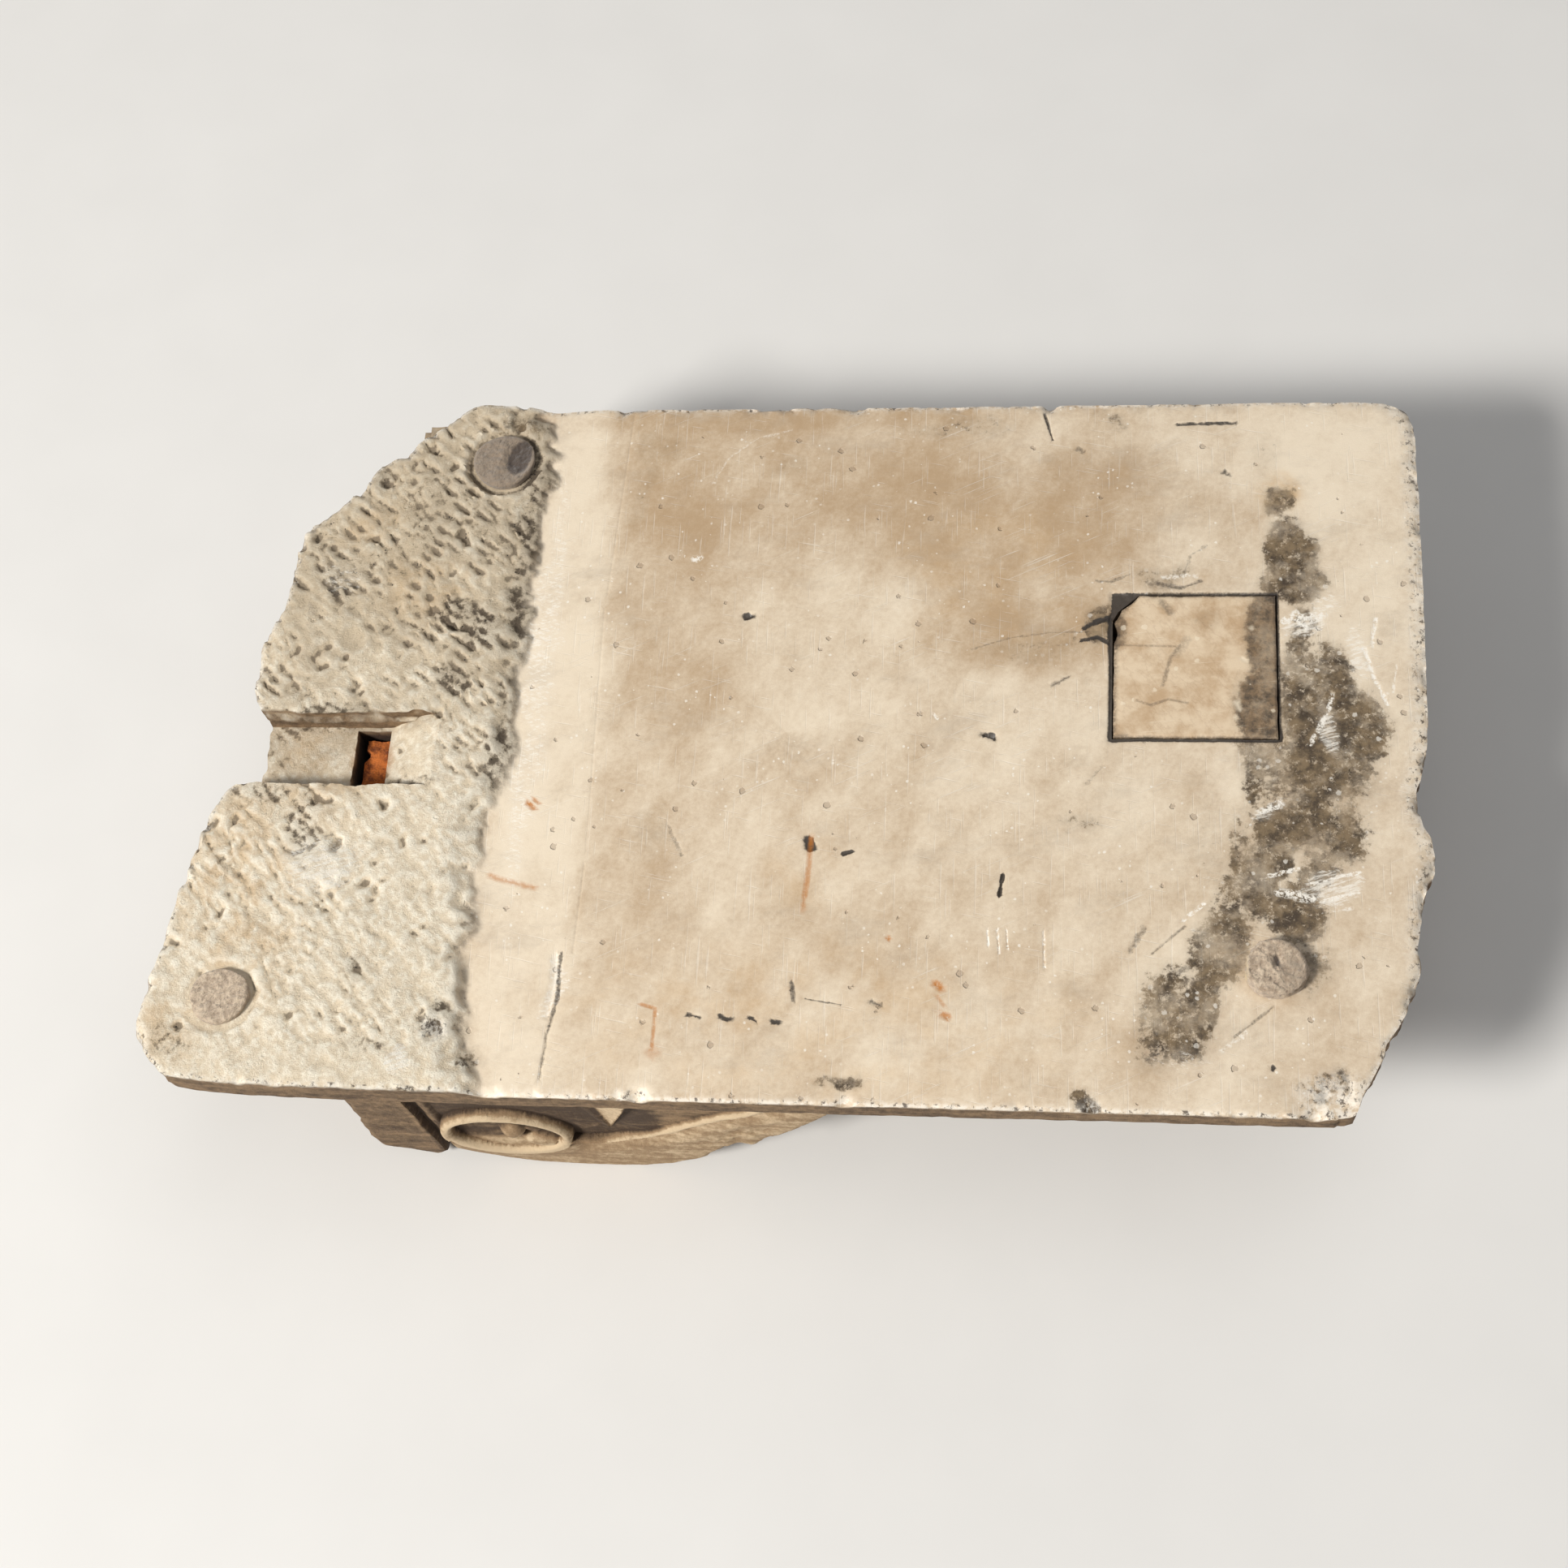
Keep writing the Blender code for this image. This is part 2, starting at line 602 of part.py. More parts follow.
def plug_outline(margin):
    """Returns the plug's outline with its far tail-side corner broken off."""
    low_x = PLUG_X - PLUG_LENGTH / 2 - margin
    high_x = PLUG_X + PLUG_LENGTH / 2 + margin
    low_y = PLUG_Y - PLUG_WIDTH / 2 - margin
    high_y = PLUG_Y + PLUG_WIDTH / 2 + margin
    corners = [(low_x, low_y), (high_x, low_y), (high_x, high_y)]
    if margin:
        return [*corners, (low_x, high_y)]
    chip_x, chip_y = PLUG_CORNER_CHIP
    chip_end = (low_x + PLUG_CHIP_SLANT, high_y - chip_y)
    return [*corners, (low_x + chip_x, high_y), chip_end, (low_x, high_y - chip_y * 1.6)]


def make_plug_pocket(material):
    """Returns the cutter of the pocket that the plug is let into."""
    outline = plug_outline(PLUG_JOINT)
    depth = PLUG_DEPTH + PLUG_JOINT
    loops = [[(x, y, z) for x, y in outline] for z in (-depth, SOLVER_LAP)]
    return add_object("plug_pocket", stack_loops(loops), material)


def make_plug(material):
    """Returns the marble plug, flush with the bed."""
    outline = plug_outline(0.0)
    loops = []
    for inset, z in ((0.0, -PLUG_DEPTH), (0.0, -WORN_ARRIS), (WORN_ARRIS, 0.0)):
        loops.append([(x, y, z) for x, y in inset_outline(outline, inset)])
    return add_object("square_plug", stack_loops(loops), material)


def felt_outline(x, y, radius):
    """Returns the uneven outline of a hand-cut felt disc."""
    points = []
    for corner in range(FELT_CORNERS):
        angle = math.tau * corner / FELT_CORNERS
        reach = radius * (1.0 - 0.05 * abs(math.sin(angle * 2.5 + x * 40.0)))
        points.append((x + reach * math.cos(angle), y + reach * math.sin(angle)))
    return points


def felt_floor(x, seat_depth):
    """Returns the height that a felt foot is stuck to."""
    surface = TAIL_RISE if x < STEP_X else 0.0
    return surface - seat_depth


def make_felt_seat(name, x, y, radius, seat_depth, material):
    """Returns the cutter of the shallow round seat under a felt foot."""
    bm = bmesh.new()
    height = TAIL_DRESSING + seat_depth + SOLVER_LAP
    reach = radius + FELT_SEAT_MARGIN
    bmesh.ops.create_cone(bm, cap_ends=True, segments=24, radius1=reach, radius2=reach * 1.05, depth=height)
    bmesh.ops.translate(bm, vec=(x, y, felt_floor(x, seat_depth) + height / 2), verts=bm.verts)
    return add_object(f"{name}_seat", bm, material)


def make_felt_foot(name, x, y, radius, thickness, seat_depth, material):
    """Returns a felt foot with a softened upper edge."""
    low = felt_floor(x, seat_depth) + FELT_CLEARANCE
    outline = felt_outline(x, y, radius)
    edge = thickness * 0.25
    levels = ((0.0, low), (0.0, low + thickness - edge), (edge, low + thickness))
    loops = [[(px, py, z) for px, py in inset_outline(outline, inset)] for inset, z in levels]
    return add_object(name, stack_loops(loops), material)


def main():
    """Builds the block and the pieces let into it or stuck on it."""
    clear_scene()
    marble = make_material("cream_marble", (0.62, 0.52, 0.38), 0.55)
    plug_marble = make_material("plug_marble", (0.66, 0.58, 0.46), 0.50)
    rust = make_material("rusted_iron", (0.30, 0.13, 0.05), 0.85)
    felt = make_material("grey_felt", (0.33, 0.29, 0.29), 0.95)

    block = make_slab(marble)
    shape_with(block, make_wall_block(marble), "UNION")
    soffit_half = HALF_WIDTH - CHEEK_SETBACK - CHEEK_WIDTH + SOFFIT_LAP
    soffit = side_prism("soffit_bed", bracket_profile(SOFFIT_SINK), -soffit_half, soffit_half, marble)
    shape_with(block, soffit, "UNION")
    shape_with(block, make_leaf(marble), "UNION")
    shape_with(block, make_tail_root(marble), "UNION")
    shape_with(block, make_tail_dressing(marble), "UNION")
    add_side_carving(block, "near", -1, marble)
    add_side_carving(block, "far", 1, marble)
    shape_with(block, make_cramp_cutting(marble), "DIFFERENCE")
    shape_with(block, make_dowel_hole(marble), "DIFFERENCE")
    shape_with(block, make_plug_pocket(marble), "DIFFERENCE")
    make_plug(plug_marble)
    make_iron_dowel(rust)
    for name, end, distance, share, radius, thickness, seat_depth in FELT_FEET:
        x = end + distance
        y = share * HALF_WIDTH
        if seat_depth:
            seat = make_felt_seat(name, x, y, radius, seat_depth, marble)
            shape_with(block, seat, "DIFFERENCE")
        make_felt_foot(name, x, y, radius, thickness, seat_depth, felt)


main()
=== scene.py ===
"""Marble modillion, bed up: the weathered block, its square plug, iron stump and felt feet.

+X runs from the broken tail, which was built into the wall, to the front. +Y runs to the far side
and +Z up out of the bed. Sizes and places are in millimetres on the real object, unless a name or a
docstring says metres.
"""

import logging
import math
from dataclasses import dataclass
from enum import Enum
from functools import cache

import bpy
import numpy as np
from mathutils import Euler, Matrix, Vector
from mathutils.geometry import delaunay_2d_cdt
from mathutils.kdtree import KDTree

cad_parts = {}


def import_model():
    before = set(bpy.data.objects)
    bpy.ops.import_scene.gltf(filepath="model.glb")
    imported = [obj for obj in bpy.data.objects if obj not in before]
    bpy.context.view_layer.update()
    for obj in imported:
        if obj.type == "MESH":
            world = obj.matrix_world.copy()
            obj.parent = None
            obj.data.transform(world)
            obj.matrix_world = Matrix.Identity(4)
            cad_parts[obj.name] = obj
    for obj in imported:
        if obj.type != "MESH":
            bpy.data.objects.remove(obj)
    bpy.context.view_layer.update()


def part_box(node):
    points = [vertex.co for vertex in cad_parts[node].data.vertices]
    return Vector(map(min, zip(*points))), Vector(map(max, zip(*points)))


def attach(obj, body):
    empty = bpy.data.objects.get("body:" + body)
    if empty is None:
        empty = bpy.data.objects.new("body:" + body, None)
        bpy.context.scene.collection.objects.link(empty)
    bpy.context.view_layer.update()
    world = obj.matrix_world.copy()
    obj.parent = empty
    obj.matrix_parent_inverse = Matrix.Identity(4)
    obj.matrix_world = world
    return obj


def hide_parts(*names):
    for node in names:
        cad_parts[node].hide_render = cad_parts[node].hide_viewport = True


LOG = logging.getLogger("marble_modillion")
MM = 0.001
Point = tuple[float, float]
Socket = bpy.types.NodeSocket


class Joining(Enum):
    """How one solid is joined to another."""

    ADD = "UNION"
    CUT = "DIFFERENCE"


class Tint(Enum):
    """What colours a mark on the bed."""

    DARK = 0
    RUST = 1
    WHITE = 2


def tone(red: int, green: int, blue: int) -> tuple[float, float, float, float]:
    """Returns the linear colour of a display tone from 0 to 255."""
    channels = (red / 255, green / 255, blue / 255)
    linear = [((c + 0.055) / 1.055) ** 2.4 if c > 0.04045 else c / 12.92 for c in channels]
    return (*linear, 1.0)


def ramp(low: float, high: float, value: np.ndarray) -> np.ndarray:
    """Returns a smooth rise from 0 at low to 1 at high."""
    share = np.clip((value - low) / (high - low), 0.0, 1.0)
    return share * share * (3.0 - 2.0 * share)


def fade(low: float, high: float, value: np.ndarray) -> np.ndarray:
    """Returns a smooth fall from 1 at low to 0 at high."""
    return 1.0 - ramp(low, high, value)


def dome(share: np.ndarray) -> np.ndarray:
    """Returns the height of a round dome of height 1 at a share of its radius."""
    return np.sqrt(np.clip(1.0 - share * share, 0.0, 1.0))


def lattice_value(column: np.ndarray, row: np.ndarray, seed: int) -> np.ndarray:
    """Returns a repeatable value from -1 to 1 for each lattice point."""
    mixed = (column * 374761393 + row * 668265263 + seed * 974634777) & 0xFFFFFFFF
    mixed = ((mixed ^ (mixed >> 13)) * 1274126177) & 0xFFFFFFFF
    return (mixed ^ (mixed >> 16)) / 2.0**31 - 1.0


def smooth_noise(x: np.ndarray, y: np.ndarray, seed: int) -> np.ndarray:
    """Returns smooth noise from -1 to 1 with a lattice step of one unit."""
    column = np.floor(x).astype(np.int64)
    row = np.floor(y).astype(np.int64)
    across = x - column
    along = y - row
    across = across * across * (3.0 - 2.0 * across)
    along = along * along * (3.0 - 2.0 * along)
    low, high = (
        lattice_value(column, line, seed) * (1 - across) + lattice_value(column + 1, line, seed) * across
        for line in (row, row + 1)
    )
    return low * (1 - along) + high * along


def rough_noise(x: np.ndarray, y: np.ndarray, size: float, seed: int, layers: int = 3) -> np.ndarray:
    """Returns layered noise whose largest lumps are one size across.

    Args:
        x: First coordinate of each point.
        y: Second coordinate of each point.
        size: Width of the largest lumps.
        seed: Which pattern is drawn.
        layers: How many ever finer layers are added.

    Returns:
        Values of about -1 to 1.
    """
    total = np.zeros_like(x)
    reach = 0.0
    for layer in range(layers):
        share = 0.5**layer
        scale = 2.03**layer / size
        total += share * smooth_noise(x * scale + 17.3 * layer, y * scale - 9.1 * layer, seed + layer)
        reach += share
    return total / reach * 1.35


def path_distance(x: np.ndarray, y: np.ndarray, path: tuple[Point, ...]) -> np.ndarray:
    """Returns each point's distance to a broken line, or to one point."""
    nearest = np.full(x.shape, np.inf)
    pairs = list(zip(path, path[1:])) or [(path[0], path[0])]
    for (ax, ay), (bx, by) in pairs:
        dx, dy = bx - ax, by - ay
        length = dx * dx + dy * dy
        share = np.clip(((x - ax) * dx + (y - ay) * dy) / length, 0, 1) if length else 0.0
        nearest = np.minimum(nearest, np.hypot(x - ax - share * dx, y - ay - share * dy))
    return nearest


def inside(x: np.ndarray, y: np.ndarray, outline: np.ndarray) -> np.ndarray:
    """Tells which points lie inside a closed outline."""
    result = np.zeros(x.shape, dtype=bool)
    for (ax, ay), (bx, by) in zip(outline, np.roll(outline, -1, axis=0)):
        if ay == by:
            continue
        crosses = (ay > y) != (by > y)
        result ^= crosses & (x < ax + (y - ay) * (bx - ax) / (by - ay))
    return result


def refine(path: np.ndarray, pitch: float, closed: bool) -> np.ndarray:
    """Returns a path with points no more than a pitch apart."""
    ends = np.roll(path, -1, axis=0) if closed else path[1:]
    starts = path if closed else path[:-1]
    rows = []
    for start, end in zip(starts, ends):
        count = max(1, int(np.ceil(np.linalg.norm(end - start) / pitch)))
        rows.append(start + (end - start) * np.arange(count)[:, None] / count)
    if not closed:
        rows.append(path[-1:])
    return np.concatenate(rows)


def outward(path: np.ndarray) -> np.ndarray:
    """Returns the outward normal at each point of a closed anticlockwise path."""
    along = np.roll(path, -1, axis=0) - np.roll(path, 1, axis=0)
    along /= np.maximum(np.linalg.norm(along, axis=1, keepdims=True), 1e-9)
    return np.stack([along[:, 1], -along[:, 0]], axis=1)


def scatter(low: Point, high: Point, pitch: float, seed: int) -> np.ndarray:
    """Returns points in a box on a jittered triangular lattice."""
    rise = pitch * 0.866
    columns = np.arange(low[0], high[0], pitch)
    rows = np.arange(low[1], high[1], rise)
    x, y = np.meshgrid(columns, rows)
    x[1::2] += pitch / 2
    jitter = np.random.default_rng(seed).uniform(-0.2, 0.2, (2, *x.shape)) * pitch
    return np.stack([(x + jitter[0]).ravel(), (y + jitter[1]).ravel()], axis=1)


def distance_to(points: np.ndarray, outline: np.ndarray) -> np.ndarray:
    """Returns each point's distance to the nearest point of a densely set outline."""
    tree = KDTree(len(outline))
    for index, (x, y) in enumerate(outline):
        tree.insert((x, y, 0.0), index)
    tree.balance()
    return np.array([tree.find((x, y, 0.0))[2] for x, y in points])


def triangulate(ring: np.ndarray, inner: np.ndarray) -> tuple[np.ndarray, list[list[int]]]:
    """Fills a closed ring with triangles through the inner points.

    Args:
        ring: The outline, kept as the first points.
        inner: Points inside it.

    Returns:
        All points in two dimensions, and the faces, anticlockwise.
    """
    count = len(ring)
    points = [Vector(map(float, point)) for point in np.concatenate([ring, inner])]
    outlines = [list(range(count))]
    verts, _, faces, origins, _, owners = delaunay_2d_cdt(points, [], outlines, 0, 1e-5, True)
    source = [origin[0] for origin in origins]
    flat = np.array([[vert.x, vert.y] for vert in verts])
    order = np.argsort(source, kind="stable")
    place = np.empty(len(order), dtype=int)
    place[order] = np.arange(len(order))
    kept = [face for face, owner in zip(faces, owners) if owner]
    return flat[order], [[int(place[index]) for index in face] for face in kept]


def activate(item: bpy.types.Object) -> None:
    """Makes an object the only selected and the active one."""
    bpy.ops.object.select_all(action="DESELECT")
    item.select_set(True)
    bpy.context.view_layer.objects.active = item


def mesh_object(name: str, points: np.ndarray, faces: list) -> bpy.types.Object:
    """Makes an object from points in millimetres, with its faces turned outwards."""
    mesh = bpy.data.meshes.new(name)
    mesh.from_pydata((np.asarray(points) * MM).tolist(), [], faces)
    item = bpy.data.objects.new(name, mesh)
    bpy.context.scene.collection.objects.link(item)
    activate(item)
    bpy.ops.object.mode_set(mode="EDIT")
    bpy.ops.mesh.select_all(action="SELECT")
    bpy.ops.mesh.normals_make_consistent(inside=False)
    bpy.ops.object.mode_set(mode="OBJECT")
    return item


def loft(name: str, rings: list[np.ndarray]) -> bpy.types.Object:
    """Makes a closed solid through rings of equal count, capped at both ends."""
    count = len(rings[0])
    faces = []
    for level in range(len(rings) - 1):
        for index in range(count):
            after = (index + 1) % count
            low, high = level * count, (level + 1) * count
            faces.append((low + index, low + after, high + after, high + index))
    faces.append(tuple(range(count))[::-1])
    faces.append(tuple(range((len(rings) - 1) * count, len(rings) * count)))
    return mesh_object(name, np.concatenate(rings), faces)


def lattice_box(x: np.ndarray, y: np.ndarray, z: np.ndarray) -> tuple[np.ndarray, list[tuple[int, ...]]]:
    """Returns the points and faces of a box's skin with the given divisions along each axis."""
    sizes = (len(x), len(y), len(z))
    axes = (x, y, z)
    index: dict[tuple[int, ...], int] = {}
    points = []
    faces = []

    def corner(key: tuple[int, ...]) -> int:
        """Returns the number of the point at a lattice place, and makes it when it is new."""
        if key not in index:
            index[key] = len(points)
            points.append([axes[axis][key[axis]] for axis in range(3)])
        return index[key]

    for axis in range(3):
        first, second = (axis + 1) % 3, (axis + 2) % 3
        for end in (0, sizes[axis] - 1):
            for i in range(sizes[first] - 1):
                for j in range(sizes[second] - 1):
                    face = []
                    for di, dj in ((0, 0), (1, 0), (1, 1), (0, 1)):
                        key = [0, 0, 0]
                        key[axis], key[first], key[second] = end, i + di, j + dj
                        face.append(corner(tuple(key)))
                    faces.append(tuple(face))
    return np.array(points), faces


def combine(target: bpy.types.Object, tool: bpy.types.Object, joining: Joining) -> None:
    """Joins a closed solid to the target, or cuts it away, and removes the solid."""
    modifier = target.modifiers.new("joining", "BOOLEAN")
    modifier.operation = joining.value
    modifier.solver = "MANIFOLD"
    modifier.object = tool
    activate(target)
    bpy.ops.object.modifier_apply(modifier=modifier.name)
    bpy.data.objects.remove(tool, do_unlink=True)


def paint(item: bpy.types.Object, layer: str, channels: list[np.ndarray]) -> None:
    """Writes three masks from 0 to 1 into a colour attribute of a mesh."""
    mesh = item.data
    attribute = mesh.color_attributes.new(layer, "FLOAT_COLOR", "POINT")
    values = np.ones((len(mesh.vertices), 4), dtype=np.float32)
    for index, channel in enumerate(channels):
        values[:, index] = np.clip(channel, 0.0, 1.0)
    attribute.data.foreach_set("color", values.ravel())


def vertex_arrays(item: bpy.types.Object) -> tuple[np.ndarray, np.ndarray]:
    """Returns the places in millimetres and the normals of a mesh's points."""
    mesh = item.data
    places = np.empty(len(mesh.vertices) * 3)
    mesh.vertices.foreach_get("co", places)
    normals = np.empty(len(mesh.vertices) * 3)
    mesh.vertices.foreach_get("normal", normals)
    return places.reshape(-1, 3) / MM, normals.reshape(-1, 3)


def band_faces(starts: list[int], count: int) -> list[list[int]]:
    """Returns the quads between rings of equal count, each given by its first point, from the top down."""
    faces = []
    for upper, lower in zip(starts, starts[1:]):
        for index in range(count):
            after = (index + 1) % count
            faces.append([lower + index, lower + after, upper + after, upper + index])
    return faces


def move_points(item: bpy.types.Object, place: np.ndarray) -> None:
    """Moves a mesh's points to places in millimetres."""
    item.data.vertices.foreach_set("co", (place * MM).ravel())
    item.data.update()


def shade(item: bpy.types.Object, degrees: float) -> None:
    """Shades a mesh smooth, but for the edges sharper than an angle."""
    activate(item)
    bpy.ops.object.shade_smooth_by_angle(angle=math.radians(degrees))


@dataclass(frozen=True)
class Patch:
    """A soft oval patch on a surface: its centre, half sizes, turn in degrees and strength."""

    x: float
    y: float
    half_x: float
    half_y: float
    turn: float = 0.0
    strength: float = 1.0

    def mask(self, x: np.ndarray, y: np.ndarray) -> np.ndarray:
        """Returns the patch's strength at each point, half of it on the oval itself."""
        angle = math.radians(self.turn)
        along = (x - self.x) * math.cos(angle) + (y - self.y) * math.sin(angle)
        across = (y - self.y) * math.cos(angle) - (x - self.x) * math.sin(angle)
        radius = np.hypot(along / self.half_x, across / self.half_y)
        return self.strength * fade(0.45, 1.55, radius)


@dataclass(frozen=True)
class Mark:
    """A scratch, pit or vein on the bed: its path, half width, depth, tint and strength."""

    path: tuple[Point, ...]
    half_width: float
    depth: float
    tint: Tint
    strength: float = 1.0

    def distance(self, x: np.ndarray, y: np.ndarray) -> np.ndarray:
        """Returns each point's distance from the mark, in half widths with an uneven edge."""
        result = np.full(x.shape, 9.0)
        xs, ys = zip(*self.path)
        reach = self.half_width * 2.5 + 1.0
        near = (x > min(xs) - reach) & (x < max(xs) + reach) & (y > min(ys) - reach) & (y < max(ys) + reach)
        wobble = 1.0 + 0.35 * rough_noise(x[near], y[near], 2.4, 91)
        result[near] = path_distance(x[near], y[near], self.path) / (self.half_width * wobble)
        return result

    def points(self) -> np.ndarray:
        """Returns points along the mark, close enough to carve it."""
        steps = np.linspace(-1.6, 1.6, 5) * self.half_width
        if len(self.path) == 1:
            grid = np.stack(np.meshgrid(steps, steps), axis=-1).reshape(-1, 2)
            return grid + np.array(self.path[0])
        line = refine(np.array(self.path, dtype=float), max(0.8, self.half_width * 0.8), closed=False)
        along = np.gradient(line, axis=0)
        along /= np.linalg.norm(along, axis=1, keepdims=True)
        across = np.stack([along[:, 1], -along[:, 0]], axis=1)
        return np.concatenate([line + across * step for step in steps])


def strongest(patches: tuple[Patch, ...], x: np.ndarray, y: np.ndarray) -> np.ndarray:
    """Returns the greatest strength of several patches at each point, at least 0."""
    return np.maximum(np.max([patch.mask(x, y) for patch in patches], axis=0), 0.0)


def drawn(marks: tuple[Mark, ...], x: np.ndarray, y: np.ndarray, core: float) -> dict[Tint, np.ndarray]:
    """Returns how strongly marks draw each tint, in full as far out as their core."""
    line = {tint: np.zeros_like(x) for tint in Tint}
    for mark in marks:
        cover = mark.strength * fade(core, 1.25, mark.distance(x, y))
        line[mark.tint] = np.maximum(line[mark.tint], cover)
    return line


